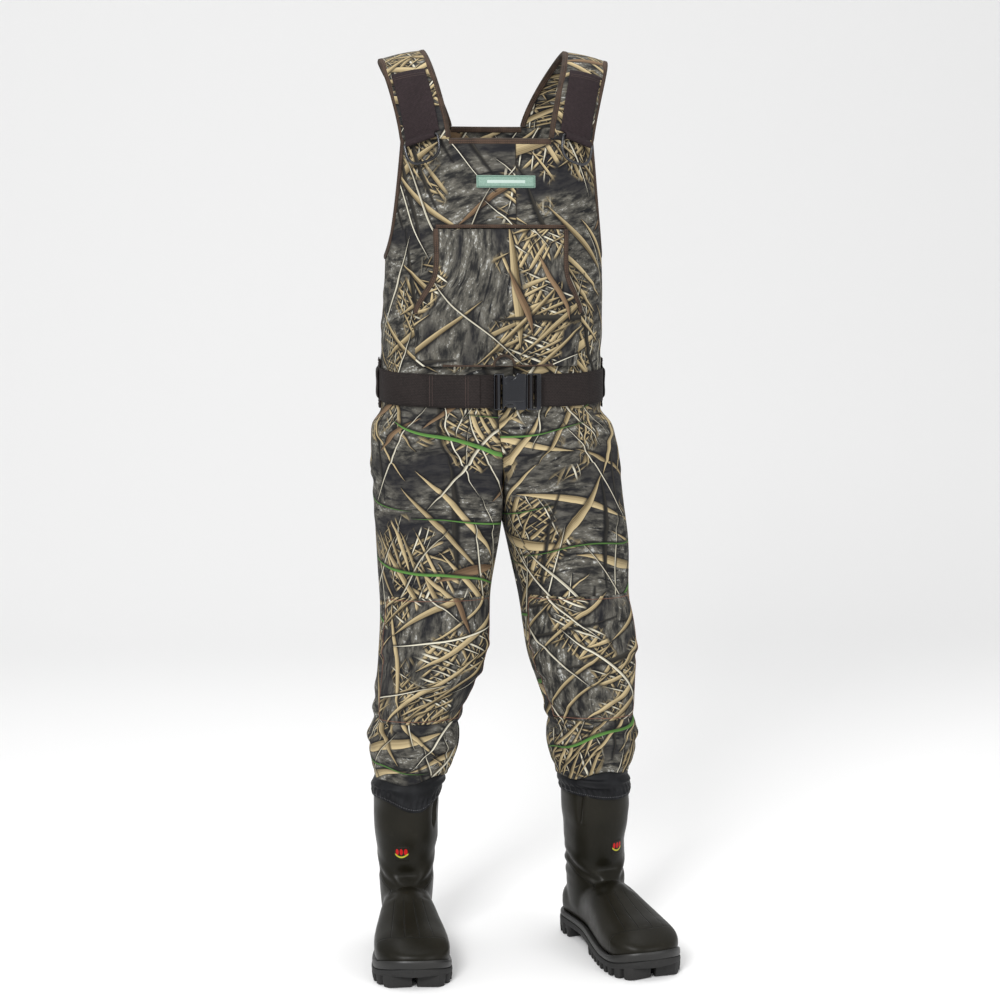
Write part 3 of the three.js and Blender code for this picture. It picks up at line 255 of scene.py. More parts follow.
def active(obj):
    clear_selection()
    obj.select_set(True)
    bpy.context.view_layer.objects.active = obj


def apply(obj, kind, **settings):
    active(obj)
    mod = obj.modifiers.new(kind, kind)
    for key, value in settings.items():
        setattr(mod, key, value)
    bpy.ops.object.modifier_apply(modifier=mod.name)


def edit(obj, *steps):
    """Runs edit-mode operators on all of a mesh."""
    active(obj)
    bpy.ops.object.mode_set(mode="EDIT")
    bpy.ops.mesh.select_all(action="SELECT")
    for step in steps:
        step()
    bpy.ops.object.mode_set(mode="OBJECT")


def merge_near(obj, distance=1e-5):
    edit(obj, lambda: bpy.ops.mesh.remove_doubles(threshold=distance))


def outward(obj):
    edit(obj, lambda: bpy.ops.mesh.normals_make_consistent(inside=False))


def smooth_faces(obj, angle=None):
    active(obj)
    bpy.ops.object.shade_smooth()
    if angle:
        bpy.ops.object.shade_smooth_by_angle(angle=math.radians(angle))


def cloth_piece(name, nu, nv, place, uv, tube=False, thick=None, offset=-1.0, facing=None):
    """nu by nv faces laid over place(u, v), with a UV map in metres from uv(u, v) and a thickness."""
    clear_selection()
    bpy.ops.mesh.primitive_grid_add(x_subdivisions=nu, y_subdivisions=nv, size=2)
    obj = bpy.context.object
    obj.name = obj.data.name = name
    mesh = obj.data
    count = len(mesh.vertices)
    co = np.empty(count * 3)
    mesh.vertices.foreach_get("co", co)
    co = co.reshape(-1, 3)
    u, v = (co[:, 0] + 1) / 2, (co[:, 1] + 1) / 2
    mesh.vertices.foreach_set("co", np.asarray(place(u, v)).reshape(-1))
    layer = mesh.uv_layers[0]
    layer.name = "cloth"
    index = np.empty(len(mesh.loops), int)
    mesh.loops.foreach_get("vertex_index", index)
    flat = np.stack(uv(u, v), -1)[index]
    layer.data.foreach_set("uv", flat.reshape(-1))
    mesh.update()
    if tube:
        merge_near(obj, 2e-5)
    if facing is not None:
        mesh.update()
        mid = mesh.polygons[len(mesh.polygons) // 2 + nu // 2]
        if mid.normal.dot(Vector(facing)) < 0:
            edit(obj, bpy.ops.mesh.flip_normals)
    if thick:
        apply(obj, "SOLIDIFY", thickness=thick, offset=offset, material_offset=1, material_offset_rim=0)
    smooth_faces(obj)
    return obj


def finish_piece(obj, body, slot, *nodes, materials=()):
    for m in materials:
        obj.data.materials.append(m)
    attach(obj, body)
    if nodes:
        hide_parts(*nodes)
    return obj


# ------------------------------------------------------------------ shader helpers
class Sock:
    """A socket that takes part in sums."""

    def __init__(self, tree, out):
        self.tree, self.out = tree, out

    def math(self, op, *others):
        node = self.tree.nodes.new("ShaderNodeMath")
        node.operation = op
        for i, value in enumerate((self, *others)):
            if isinstance(value, Sock):
                self.tree.links.new(value.out, node.inputs[i])
            else:
                node.inputs[i].default_value = value
        return Sock(self.tree, node.outputs[0])

    def flip(self, op, other):
        node = self.tree.nodes.new("ShaderNodeMath")
        node.operation = op
        node.inputs[0].default_value = other
        self.tree.links.new(self.out, node.inputs[1])
        return Sock(self.tree, node.outputs[0])

    def __add__(self, o): return self.math("ADD", o)
    def __radd__(self, o): return self.math("ADD", o)
    def __sub__(self, o): return self.math("SUBTRACT", o)
    def __rsub__(self, o): return self.flip("SUBTRACT", o)
    def __mul__(self, o): return self.math("MULTIPLY", o)
    def __rmul__(self, o): return self.math("MULTIPLY", o)
    def __truediv__(self, o): return self.math("DIVIDE", o)
    def __rtruediv__(self, o): return self.flip("DIVIDE", o)
    def __pow__(self, o): return self.math("POWER", o)
    def __neg__(self): return self.math("MULTIPLY", -1.0)
    def __abs__(self): return self.math("ABSOLUTE")
    def floor(self): return self.math("FLOOR")
    def fract(self): return self.math("FRACT")
    def sin(self): return self.math("SINE")
    def cos(self): return self.math("COSINE")
    def less(self, o): return self.math("LESS_THAN", o)
    def more(self, o): return self.math("GREATER_THAN", o)
    def least(self, o): return self.math("MINIMUM", o)
    def most(self, o): return self.math("MAXIMUM", o)

    def ramp(self, lo, hi, a=0.0, b=1.0, kind="SMOOTHSTEP"):
        node = self.tree.nodes.new("ShaderNodeMapRange")
        node.interpolation_type = kind
        self.tree.links.new(self.out, node.inputs["Value"])
        for key, value in (("From Min", lo), ("From Max", hi), ("To Min", a), ("To Max", b)):
            if isinstance(value, Sock):
                self.tree.links.new(value.out, node.inputs[key])
            else:
                node.inputs[key].default_value = value
        return Sock(self.tree, node.outputs["Result"])


class Finish:
    """A material and its node tree."""

    def __init__(self, name, rough=0.8, metal=0.0, **more):
        self.material = bpy.data.materials.new(name)
        self.material.use_nodes = True
        self.tree = self.material.node_tree
        self.shader = self.tree.nodes["Principled BSDF"]
        self.set("Roughness", rough)
        self.set("Metallic", metal)
        for key, value in more.items():
            self.set(key.replace("_", " "), value)

    def set(self, name, value):
        if isinstance(value, Sock):
            self.tree.links.new(value.out, self.shader.inputs[name])
        else:
            self.shader.inputs[name].default_value = value

    def node(self, kind, settings=None, outlet=0, **inputs):
        made = self.tree.nodes.new(kind)
        for key, value in (settings or {}).items():
            setattr(made, key, value)
        for key, value in inputs.items():
            name = key.replace("_", " ")
            inlet = made.inputs[name] if name in made.inputs else made.inputs[int(key[1:])]
            if isinstance(value, Sock):
                self.tree.links.new(value.out, inlet)
            else:
                inlet.default_value = value
        return Sock(self.tree, made.outputs[outlet])

    def mix(self, factor, a, b, blend="MIX"):
        return self.node("ShaderNodeMix", {"data_type": "RGBA", "blend_type": blend}, 2, i0=factor, i6=a,
            i7=b)

    def join(self, x, y, z=0.0):
        return self.node("ShaderNodeCombineXYZ", X=x, Y=y, Z=z)

    def split(self, vector):
        return [self.node("ShaderNodeSeparateXYZ", None, i, Vector=vector) for i in range(3)]

    def noise(self, vector, scale, detail=2.0, outlet=0, **more):
        return self.node("ShaderNodeTexNoise", None, outlet, Vector=vector, Scale=scale, Detail=detail,
            **more)

    def place(self):
        return self.node("ShaderNodeTexCoord", None, 3)

    def cloth_uv(self):
        made = self.tree.nodes.new("ShaderNodeUVMap")
        made.uv_map = "cloth"
        return Sock(self.tree, made.outputs[0])

    def bump(self, height, depth, strength=1.0):
        self.set("Normal", self.node("ShaderNodeBump", None, 0, Strength=strength, Distance=depth,
            Height=height))


def rgb(r, g, b):
    return (r, g, b, 1.0)


# ------------------------------------------------------------------ reed print
TONES = {
    "tan": (rgb(0.070, 0.050, 0.024), rgb(0.42, 0.335, 0.19)),
    "cream": (rgb(0.19, 0.17, 0.125), rgb(0.60, 0.57, 0.46)),
    "dark": (rgb(0.005, 0.005, 0.005), rgb(0.030, 0.027, 0.022)),
    "green": (rgb(0.020, 0.040, 0.011), rgb(0.085, 0.205, 0.045)),
    "leaf": (rgb(0.060, 0.036, 0.020), rgb(0.19, 0.125, 0.072)),
}
# turn from the grain in degrees, blade length, row height, half width, share filled, tone, in thatch only
BLADES = [
    (35, 0.075, 0.0085, 0.0021, 0.60, "tan", True), (-28, 0.085, 0.0095, 0.0024, 0.60, "tan", True),
    (72, 0.085, 0.0100, 0.0014, 0.45, "cream", True), (-62, 0.110, 0.0120, 0.0028, 0.55, "tan", True),
    (14, 0.200, 0.0420, 0.0066, 0.30, "tan", False), (-78, 0.200, 0.0460, 0.0036, 0.34, "dark", False),
    (-46, 0.200, 0.0340, 0.0044, 0.36, "tan", False), (22, 0.110, 0.0520, 0.0062, 0.10, "leaf", False),
    (112, 0.200, 0.0400, 0.0012, 0.26, "cream", False), (54, 0.230, 0.0360, 0.0016, 0.24, "cream", False),
    (-9, 0.420, 0.1050, 0.0026, 0.62, "green", False),
]


def reed_print(name, lean, greens=True, seam=None):
    """Bark, thatch and reed blades printed on knit neoprene, laid out in the piece's UV map in metres."""
    f = Finish(name, rough=0.9, Specular_IOR_Level=0.2)
    uv = f.cloth_uv()
    x, y, _ = f.split(uv)
    groove = 0.0
    if seam is not None:
        groove = abs(x - seam).ramp(0.0011, 0.0002)
        other = x.more(seam)
        x, y = x + other * 0.53, y + other * 0.31
        uv = f.join(x, y)
    c, s = math.cos(math.radians(lean)), math.sin(math.radians(lean))
    x, y = x * c + y * s, y * c - x * s
    warp = f.noise(uv, 5.0, 1.0, outlet=1)
    wx, wy, wz = [w - 0.5 for w in f.split(warp)]
    # Rounded logs of bark, mottled and cracked along the grain.
    gx, gy = x + wx * 0.06, y + wy * 0.05
    logs = f.noise(f.join(gx * 0.35, gy), 13.0, 2.0)
    mottle = f.noise(f.join(gx * 0.4, gy), 75.0, 6.0, Roughness=0.65)
    cracks = f.noise(f.join(gx * 0.15, gy), 130.0, 3.0)
    flecks = f.noise(f.join(gx * 0.6, gy), 260.0, 4.0, Roughness=0.7)
    colour = f.mix(mottle.ramp(0.36, 0.64), rgb(0.012, 0.012, 0.012), rgb(0.115, 0.108, 0.090))
    colour = f.mix(cracks.ramp(0.44, 0.30), colour, rgb(0.007, 0.007, 0.008))
    colour = f.mix((flecks * mottle).ramp(0.295, 0.37) * logs.ramp(0.40, 0.60), colour, rgb(0.36, 0.36, 0.34))
    colour = f.mix(logs.ramp(0.52, 0.36, 0.0, 0.85), colour, rgb(0.008, 0.008, 0.011))
    thatch = f.noise(uv, 7.0, 2.0).ramp(0.51, 0.56)
    for i, (turn, length, row, half, share, tone, thatched) in enumerate(BLADES):
        if tone == "green" and not greens:
            continue
        c, s = math.cos(math.radians(turn)), math.sin(math.radians(turn))
        ax, ay = x + 0.37 * i, y + 0.23 * i
        bend = (wx, wy, wz)[i % 3] * 0.035
        along = (ax * c + ay * s) / length
        across = (ay * c - ax * s + bend) / row
        line = across.floor()
        shift = f.node("ShaderNodeTexWhiteNoise", {"noise_dimensions": "1D"}, 0, W=line + 17.3 * i)
        along = along + shift
        seeds = f.node("ShaderNodeTexWhiteNoise", {"noise_dimensions": "2D"}, 1,
            Vector=f.join(line + 3.1, along.floor() + 7.7 * i))
        r0, r1, r2 = f.split(seeds)
        lx = along.fract() * 2.0 - 1.0
        ly = (across.fract() - 0.5 + (r0 - 0.5) * 0.35 + lx * (r1 - 0.5) * 0.5 + lx * lx * (r2 - 0.5)
            * 0.16) * row
        width = (1.0 - lx * lx) * half * (r1 * 0.9 + 0.5)
        there = r2.less(share)
        if thatched:
            there = there * thatch
        shade = (abs(ly + 0.0012) - width).ramp(0.0040, -0.0005) * there * 0.85
        colour = f.mix(shade, colour, rgb(0.004, 0.004, 0.005))
        dark, light = TONES[tone]
        lit = (ly / (width + 0.0003)).ramp(-1.0, 0.9)
        streak = f.node("ShaderNodeTexWhiteNoise", {"noise_dimensions": "1D"}, 0,
            W=(ly * 1700.0).floor() + r0 * 50.0)
        blade = f.mix((lit * 0.75 + streak * 0.35 + (r0 - 0.5) * 0.5).ramp(0.0, 1.0, kind="LINEAR"), dark,
            light)
        colour = f.mix((abs(ly) - width).ramp(0.00022, -0.00022) * there, colour, blade)
    f.set("Base Color", f.mix(groove * 0.8, colour, rgb(0.01, 0.008, 0.006)) if seam else colour)
    knit = (x * 5200.0).sin() * (y * 3800.0).sin()
    rub = f.noise(uv, 900.0, 2.0)
    f.bump(knit * 0.25 + rub + mottle * 0.4 - groove * 4.0, 0.0003, 0.5)
    return f.material


def lining():
    f = Finish("lining_knit", rough=0.95)
    p = f.place()
    n = f.noise(p, 500.0, 3.0)
    f.set("Base Color", f.mix(n, rgb(0.012, 0.013, 0.014), rgb(0.035, 0.037, 0.04)))
    f.bump(n, 0.0004, 0.4)
    return f.material


CAMO = reed_print("reed_neoprene_bib", 12.0, greens=False, seam=2.015)
LEG_CAMO = reed_print("reed_neoprene_leg", 88.0)
LINING = lining()


# ------------------------------------------------------------------ bib
STRAP_HALF_FRONT, STRAP_HALF_BACK = 0.157, 0.136


def armhole(z, top_z, top_half):
    k = np.clip((z - UNDERARM_Z) / (top_z - UNDERARM_Z), 0, 1)
    top = float(angle_at(top_half, np.array(top_z)))
    return pi / 2 - (pi / 2 - top) * k ** 0.35


def bib_rows(v, top_z):
    split = 0.42
    lower = lerp(BELT_Z + 0.0003, UNDERARM_Z, np.clip(v / split, 0, 1))
    upper = lerp(UNDERARM_Z, top_z, np.clip((v - split) / (1 - split), 0, 1) ** 2.2)
    return np.where(v < split, lower, upper)


def bib(name, top_z, top_half, middle):
    def where(u, v):
        z = bib_rows(v, top_z)
        return middle + (2 * u - 1) * (armhole(z, top_z, top_half) - 0.0008), z

    def place(u, v):
        phi, z = where(u, v)
        return on_body(phi, z, body_lift(np.where(phi > pi, phi - 2 * pi, phi), z))

    def uv(u, v):
        phi, z = where(u, v)
        return (phi - middle) * 0.165 + 2.0 + middle, z

    obj = cloth_piece(name, 150, 150, place, uv, facing=(0, -math.cos(middle), 0), thick=NEO)
    return finish_piece(obj, "waders", "camo_neoprene", name + "_panel", materials=(CAMO, LINING))


bib("bib_front", CHEST_Z, STRAP_HALF_FRONT, 0.0)
bib("bib_back", BACK_Z, STRAP_HALF_BACK, pi)


# ------------------------------------------------------------------ trousers
def leg_strokes(side):
    """Folds of one leg, with a measured round from the front towards the outside."""
    rng = np.random.default_rng(11 + side)
    s = [
        # drag lines from the crotch over the thigh
        (-0.09, 0.845, 0.06, 0.895, 0.0055, 0.011, 0.012), (-0.10, 0.825, 0.09, 0.845, 0.0060, 0.012, 0.010),
        (-0.11, 0.795, 0.07, 0.800, 0.0050, 0.012, 0.008), (-0.10, 0.76, 0.05, 0.742, 0.0042, 0.012, 0.006),
        (-0.02, 0.905, 0.14, 0.905, 0.0035, 0.010, -0.006), (0.02, 0.875, 0.17, 0.865, 0.0035, 0.010, -0.006),
        (-0.12, 0.72, 0.01, 0.69, 0.0035, 0.012, 0.004), (0.04, 0.70, 0.14, 0.73, 0.0028, 0.012, 0.004),
        # under the seat and behind the knee
        (0.16, 0.80, 0.40, 0.79, 0.0060, 0.014, -0.01), (0.18, 0.76, 0.38, 0.75, 0.0045, 0.013, -0.01),
        (0.17, 0.55, 0.37, 0.545, 0.0070, 0.013, 0.008), (0.18, 0.51, 0.36, 0.50, 0.0075, 0.013, 0.0),
        (0.17, 0.465, 0.37, 0.47, 0.0060, 0.012, -0.008),
        # inside and outside of the knee
        (-0.14, 0.50, -0.05, 0.525, 0.0040, 0.011, 0.0), (-0.14, 0.465, -0.04, 0.455, 0.0045, 0.011, 0.004),
        (0.06, 0.51, 0.15, 0.49, 0.0035, 0.011, 0.0), (-0.03, 0.435, 0.08, 0.425, 0.0035, 0.011, -0.006),
        (-0.10, 0.42, 0.0, 0.405, 0.0040, 0.011, -0.004),
        # blousing over the boot
        (-0.18, 0.385, -0.04, 0.372, 0.0050, 0.012, 0.006),
        (-0.02, 0.378, 0.12, 0.368, 0.0050, 0.012, -0.006),
        (0.08, 0.392, 0.26, 0.385, 0.0045, 0.012, 0.004), (-0.10, 0.345, 0.04, 0.338, 0.0055, 0.011, -0.005),
        (0.05, 0.342, 0.22, 0.35, 0.0050, 0.011, 0.004),
    ]
    for _ in range(10):
        a, z = rng.uniform(-0.2, 0.3), rng.uniform(0.36, 0.88)
        t, l = rng.normal(0, 0.35), rng.uniform(0.05, 0.12)
        s.append((a, z, a + l * math.cos(t), z + l * math.sin(t), rng.uniform(0.0012, 0.0026),
            rng.uniform(0.008, 0.013), 0.004))
    return s


ROUND_LEG = through([(BOOT_H, 0.063), (KNEE_Z, 0.091), (CROTCH_Z, 0.125)])
BLOUSE = through([(CUFF_TOP, 0.002), (CUFF_TOP + 0.012, 0.006), (CUFF_TOP + 0.045, 0.008),
    (CUFF_TOP + 0.11, 0.001), (CROTCH_Z, 0)])


def leg_surface(side):
    """How far a leg's cloth stands off its plain section, at a distance round from the front and a height."""
    strokes = leg_strokes(side)

    def lift(a, z):
        turn = 2 * pi * ROUND_LEG(z)
        rolling = slack(a, z, 0.045, 0.0016, 5 + side)
        total = folds(a, z, strokes) + folds(a - turn, z, strokes) + rolling
        ends = smooth(BELT_Z - 0.028, BELT_Z - 0.06, z) * smooth(CUFF_TOP - 0.002, CUFF_TOP + 0.02, z)
        return total * ends + BLOUSE(z)

    return lift


def hem(side, phi):
    """The lower edge of a leg dips and rises where it is gathered."""
    return CUFF_TOP - 0.006 + 0.006 * np.sin(2 * phi + 0.6 * side) + 0.003 * np.sin(5 * phi + side)


# Columns round a leg: from the inside of the thigh over the front to the outside, and back over the seat.
INNER, OUTER = 48, 96
RING = 2 * INNER + OUTER
CORNER = 27


def ring_at(side, z):
    """The angles and the distances round from the front of a leg's columns at one height."""
    x = power(np.sin(np.linspace(0, pi / 2, 900)), 2 / SQ)
    phi = np.arcsin(x ** (float(inner_sq(z)) / 2))
    p = on_leg(side, -side * phi, np.full_like(phi, z), 0.0)
    run = np.concatenate([[0], np.cumsum(np.linalg.norm(np.diff(p, axis=0), axis=1))])
    even = np.linspace(run[-1], 0, INNER + 1)
    inside = np.interp(even, run, phi)
    out = np.linspace(0, pi, OUTER + 1)
    angles = np.concatenate([-inside[:-1], out, (pi + inside[::-1])[1:]])
    return angles, np.concatenate([-even[:-1], out * ROUND_LEG(z), (pi * ROUND_LEG(z) + even[::-1])[1:]])


def trouser(name, side):
    lift = leg_surface(side)
    rows = 170
    z_rows = lerp(CUFF_TOP - 0.006, CROTCH_Z, np.linspace(0, 1, rows + 1))
    tables = [ring_at(side, z) for z in z_rows]
    angles, arcs = np.array([t[0] for t in tables]), np.array([t[1] for t in tables])

    def columns(u, v, first=0, count=RING):
        return np.rint(v * rows).astype(int), first + np.rint(u * count).astype(int)

    def tube(u, v):
        j, i = columns(u, v)
        phi, a = angles[j, i], arcs[j, i]
        z = lerp(hem(side, side * phi), CROTCH_Z, v)
        wall = np.abs(np.sin(phi)) ** (2 / inner_sq(z))
        near = smooth(CROTCH_Z - 0.10, CROTCH_Z, z) * smooth(0.75, 0.97, wall) * (np.sin(phi) < 0)
        p = on_leg(side, side * phi, z, lift(a, z) * (1 - near) - 0.0006 * near)
        inside = (i <= CORNER) | (i >= RING - CORNER)
        flush = np.where(inside, smooth(CROTCH_Z - 0.035, CROTCH_Z, z), 0.0)
        p[:, 0] = lerp(p[:, 0], SHIFT[0] + sway(z) + side * 0.0005, flush)
        return p

    count = RING - 2 * CORNER
    top = tube(np.arange(RING + 1) / RING, np.ones(RING + 1))

    def hip(u, v):
        z = lerp(CROTCH_Z, BELT_Z, v)
        i = CORNER + np.rint(u * count).astype(int)
        edge = top[i]
        x = np.clip(side * (edge[:, 0] - SHIFT[0] - sway(CROTCH_Z)) / body_half(np.array(CROTCH_Z)), 0, 1)
        first = np.arcsin(power(x, SQ / 2))
        phi_low = np.where(u <= 0.5, first, pi - first)
        phi = side * lerp(phi_low, lerp(0.0005, pi - 0.0005, u), smooth(0, 0.5, v))
        body = on_body(phi, z, lift(arcs[rows, i], z))
        return lerp(body, edge, (1 - smooth(0, 0.10, v))[:, None])

    def uv_tube(u, v):
        j, i = columns(u, v)
        return lerp(0.30, CROTCH_Z, v) + 5 * side + 7, arcs[j, i]

    def uv_hip(u, v):
        i = CORNER + np.rint(u * count).astype(int)
        return lerp(CROTCH_Z, BELT_Z, v) + 5 * side + 7, arcs[rows, i]

    return cloth_piece(name, RING, rows, tube, uv_tube, tube=True), cloth_piece(name + "_hip", count, 40,
        hip, uv_hip)


for side_name, side in GROUND_SIDES.items():
    legs, hips = trouser(side_name + "_trouser", side)
    active(hips)
    legs.select_set(True)
    bpy.context.view_layer.objects.active = legs
    bpy.ops.object.join()
    merge_near(legs, 3e-4)
    outward(legs)
    mesh = legs.data
    outer = max(mesh.polygons, key=lambda p: side * p.center.x)
    if outer.normal.x * side < 0:
        edit(legs, bpy.ops.mesh.flip_normals)
    apply(legs, "SOLIDIFY", thickness=NEO, offset=-1.0, material_offset=1, material_offset_rim=0)
    smooth_faces(legs)
    finish_piece(legs, "waders", "camo_neoprene", side_name + "_leg", side_name + "_hip_panel",
        materials=(LEG_CAMO, LINING))


# ------------------------------------------------------------------ lofts
def loft(name, rings, closed=False, uv=None):
    """A skin over rings[j][i], each ring a closed loop of points. closed joins the last ring to the first."""
    rings = np.asarray(rings)
    if closed:
        rings = np.concatenate([rings, rings[:1]])
    nv, nu = rings.shape[0] - 1, rings.shape[1]

    def pick(array):
        def get(u, v):
            return array[np.rint(v * nv).astype(int), np.rint(u * nu).astype(int) % nu]
        return get

    if uv is None:
        steps = np.concatenate([np.zeros((1, nu)), np.cumsum(np.linalg.norm(np.diff(rings, axis=0), axis=2),
            axis=0)])
        around = np.linalg.norm(rings - np.roll(rings, 1, axis=1), axis=2).mean(0)
        around = np.concatenate([[0], np.cumsum(np.roll(around, -1))])

        def uv(u, v):
            j, i = np.rint(v * nv).astype(int), np.rint(u * nu).astype(int)
            return around[i], steps[j, i % nu]
    obj = cloth_piece(name, nu, nv, pick(rings), uv, tube=True)
    if not closed:
        edit(obj, lambda: bpy.ops.mesh.select_all(action="DESELECT"), bpy.ops.mesh.select_non_manifold,
             lambda: bpy.ops.mesh.fill_holes(sides=0))
    outward(obj)
    return obj


def unit(v):
    return v / np.maximum(np.linalg.norm(v, axis=-1, keepdims=True), 1e-12)


def sweep(name, path, section, closed=False, up=(0, 0, 1)):
    """A rod along path, its section given as (across, out) pairs."""
    path = np.asarray(path, float)
    along = unit(np.roll(path, -1, 0) - np.roll(path, 1, 0)) if closed else unit(np.gradient(path, axis=0))
    side_way = unit(np.cross(along, np.asarray(up, float)))
    out_way = np.cross(side_way, along)
    rings = [[p + a * s_ + b * o for a, b in section] for p, s_, o in zip(path, side_way, out_way)]
    return loft(name, rings, closed)


def circle(radius, count=14):
    return [(radius * math.cos(2 * pi * k / count), radius * math.sin(2 * pi * k / count))
        for k in range(count)]


def edge_tape(name, points, normals, inwards, body, nodes, closed=False, cloth=NEO, reach=0.008):
    """Binding folded over an edge: a soft flat bead, thicker than the cloth and a little past its edge."""
    half = cloth / 2
    section = [
        (-reach, half - 0.0004), (-reach, half + 0.0009), (-reach * 0.75, half + 0.0016),
        (-reach * 0.4, half + 0.0018),
        (0.0, half + 0.0014), (0.0013, half * 0.7), (0.0018, 0.0), (0.0013, -half * 0.7),
        (0.0, -half - 0.0014),
        (-reach * 0.4, -half - 0.0018), (-reach * 0.75, -half - 0.0016), (-reach, -half - 0.0009),
        (-reach, 0.0004 - half),
    ]
    points, normals = np.asarray(points), unit(np.asarray(normals))
    tangent = np.roll(points, -1, 0) - np.roll(points, 1, 0) if closed else np.gradient(points, axis=0)
    edge = unit(np.cross(normals, tangent))
    edge = edge * -np.sign((edge * np.asarray(inwards)).sum(-1, keepdims=True))
    rings = np.array([[p + e * r + n * o for r, o in section] for p, e, n in zip(points, edge, normals)])
    run = np.concatenate([[0], np.cumsum(np.linalg.norm(np.diff(points, axis=0), axis=1))])
    if closed:
        run = np.append(run, run[-1] + np.linalg.norm(points[0] - points[-1]))
    across = np.array([r for r, _ in section])

    def uv(u, v):
        j, i = np.rint(v * (len(run) - 1)).astype(int), np.rint(u * len(section)).astype(int) % len(section)
        return across[i], run[j]

    obj = loft(name, rings, closed, uv)
    smooth_faces(obj, 60)
    return finish_piece(obj, body, "brown_binding", *nodes, materials=(TAPE,))


# ------------------------------------------------------------------ finishes
def tape_finish():
    f = Finish("brown_binding_tape", rough=0.8, Specular_IOR_Level=0.3)
    uv = f.cloth_uv()
    x, y, _ = f.split(uv)
    wear = f.noise(f.place(), 60.0, 3.0)
    colour = f.mix(wear.ramp(0.3, 0.7), rgb(0.020, 0.0125, 0.0082), rgb(0.046, 0.029, 0.019))
    rows = 0.0
    for at in (-0.0028, -0.0058):
        line = abs(x - at).ramp(0.00075, 0.00045)
        rows = line * (y * 280.0).fract().ramp(0.22, 0.30) + rows
    colour = f.mix(rows * 0.7, colour, rgb(0.085, 0.045, 0.030))
    f.set("Base Color", colour)
    rib = (y * 7000.0).sin() * 0.3 + f.noise(f.place(), 700.0, 2.0)
    f.bump(rib + rows * 1.5, 0.0004, 0.6)
    return f.material


def web_finish(name, dark, light, rib=2400.0):
    f = Finish(name, rough=0.82, Specular_IOR_Level=0.2)
    x, y, _ = f.split(f.cloth_uv())
    ribs = (x * rib).sin()
    weave = (y * rib * 0.55 + (x * rib / (2 * pi)).floor() * pi).sin()
    n = f.noise(f.place(), 300.0, 3.0)
    big = f.noise(f.place(), 18.0, 2.0)
    f.set("Base Color", f.mix((n * 0.6 + ribs * 0.12 + big * 0.4 + weave * 0.08).ramp(0.2, 0.85), dark,
        light))
    f.bump(ribs * 0.5 + weave * 0.35 + n * 0.4, 0.0005, 0.7)
    return f.material


def grained(name, dark, light, rough, bump_scale, depth, spread=0.0, metal=0.0, coat=0.0):
    f = Finish(name, rough=rough, metal=metal)
    p = f.place()
    n = f.noise(p, bump_scale, 3.0)
    big = f.noise(p, 14.0, 3.0)
    f.set("Base Color", f.mix(big.ramp(0.3, 0.7), dark, light))
    f.set("Roughness", (big * 0.6 + n * 0.4).ramp(0.25, 0.75, rough - spread, rough + spread))
    if coat:
        f.set("Coat Weight", coat)
        f.set("Coat Roughness", 0.25)
    f.bump(n, depth, 0.35)
    return f.material


TAPE = tape_finish()
BELT_WEB = web_finish("brown_belt_webbing", rgb(0.0075, 0.0055, 0.0052), rgb(0.021, 0.0155, 0.0145))
BAND_WEB = web_finish("brown_band_webbing", rgb(0.011, 0.0068, 0.0075), rgb(0.029, 0.019, 0.021), rib=3100.0)
STEEL = grained("dark_ring_steel", rgb(0.030, 0.030, 0.032), rgb(0.075, 0.076, 0.080), 0.30, 260.0, 0.0001,
    0.08, metal=0.95)
PLASTIC = grained("black_buckle_plastic", rgb(0.0050, 0.0055, 0.0075), rgb(0.010, 0.011, 0.015), 0.15,
    500.0, 0.00002, 0.03)
SOLE = grained("black_sole_rubber", rgb(0.0035, 0.0035, 0.0035), rgb(0.009, 0.0085, 0.008), 0.75, 300.0,
    0.0002, 0.08)
FLEECE = grained("pocket_fleece", rgb(0.020, 0.019, 0.018), rgb(0.065, 0.060, 0.055), 0.95, 260.0, 0.0012)
FOOTBED = grained("grey_footbed", rgb(0.03, 0.03, 0.032), rgb(0.07, 0.07, 0.075), 0.9, 350.0, 0.0006)
POCKET_CAMO = reed_print("reed_neoprene_pocket", 84.0, greens=False)
DARK_THREAD = grained("dark_thread", rgb(0.022, 0.012, 0.010), rgb(0.045, 0.025, 0.020), 0.8, 900.0, 0.0001)
THREAD = grained("brown_thread", rgb(0.10, 0.040, 0.022), rgb(0.18, 0.075, 0.045), 0.7, 900.0, 0.0001)


def label_finish():
    f = Finish("green_label_cloth", rough=0.7)
    x, y, _ = f.split(f.cloth_uv())
    n = f.noise(f.place(), 500.0, 2.0)
    frame_line = (abs(x) - 0.0455).math("ABSOLUTE").least((abs(y) - 0.0078).math("ABSOLUTE")).ramp(0.0008,
        0.0004)
    inside = abs(x).less(0.0463) * abs(y).less(0.0086)
    colour = f.mix(n.ramp(0.3, 0.7), rgb(0.125, 0.205, 0.165), rgb(0.175, 0.27, 0.22))
    colour = f.mix(frame_line * inside, colour, rgb(0.05, 0.11, 0.08))
    bar = abs(y).less(0.0024) * abs(x).less(0.031)
    colour = f.mix(bar * 0.7, colour, rgb(0.42, 0.50, 0.46))
    f.set("Base Color", colour)
    f.bump((x * 6000.0).sin() * 0.3 + n + bar * 0.8, 0.0003, 0.5)
    return f.material


def paint_node(node, material):
    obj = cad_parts[node]
    obj.data.materials.clear()
    obj.data.materials.append(material)


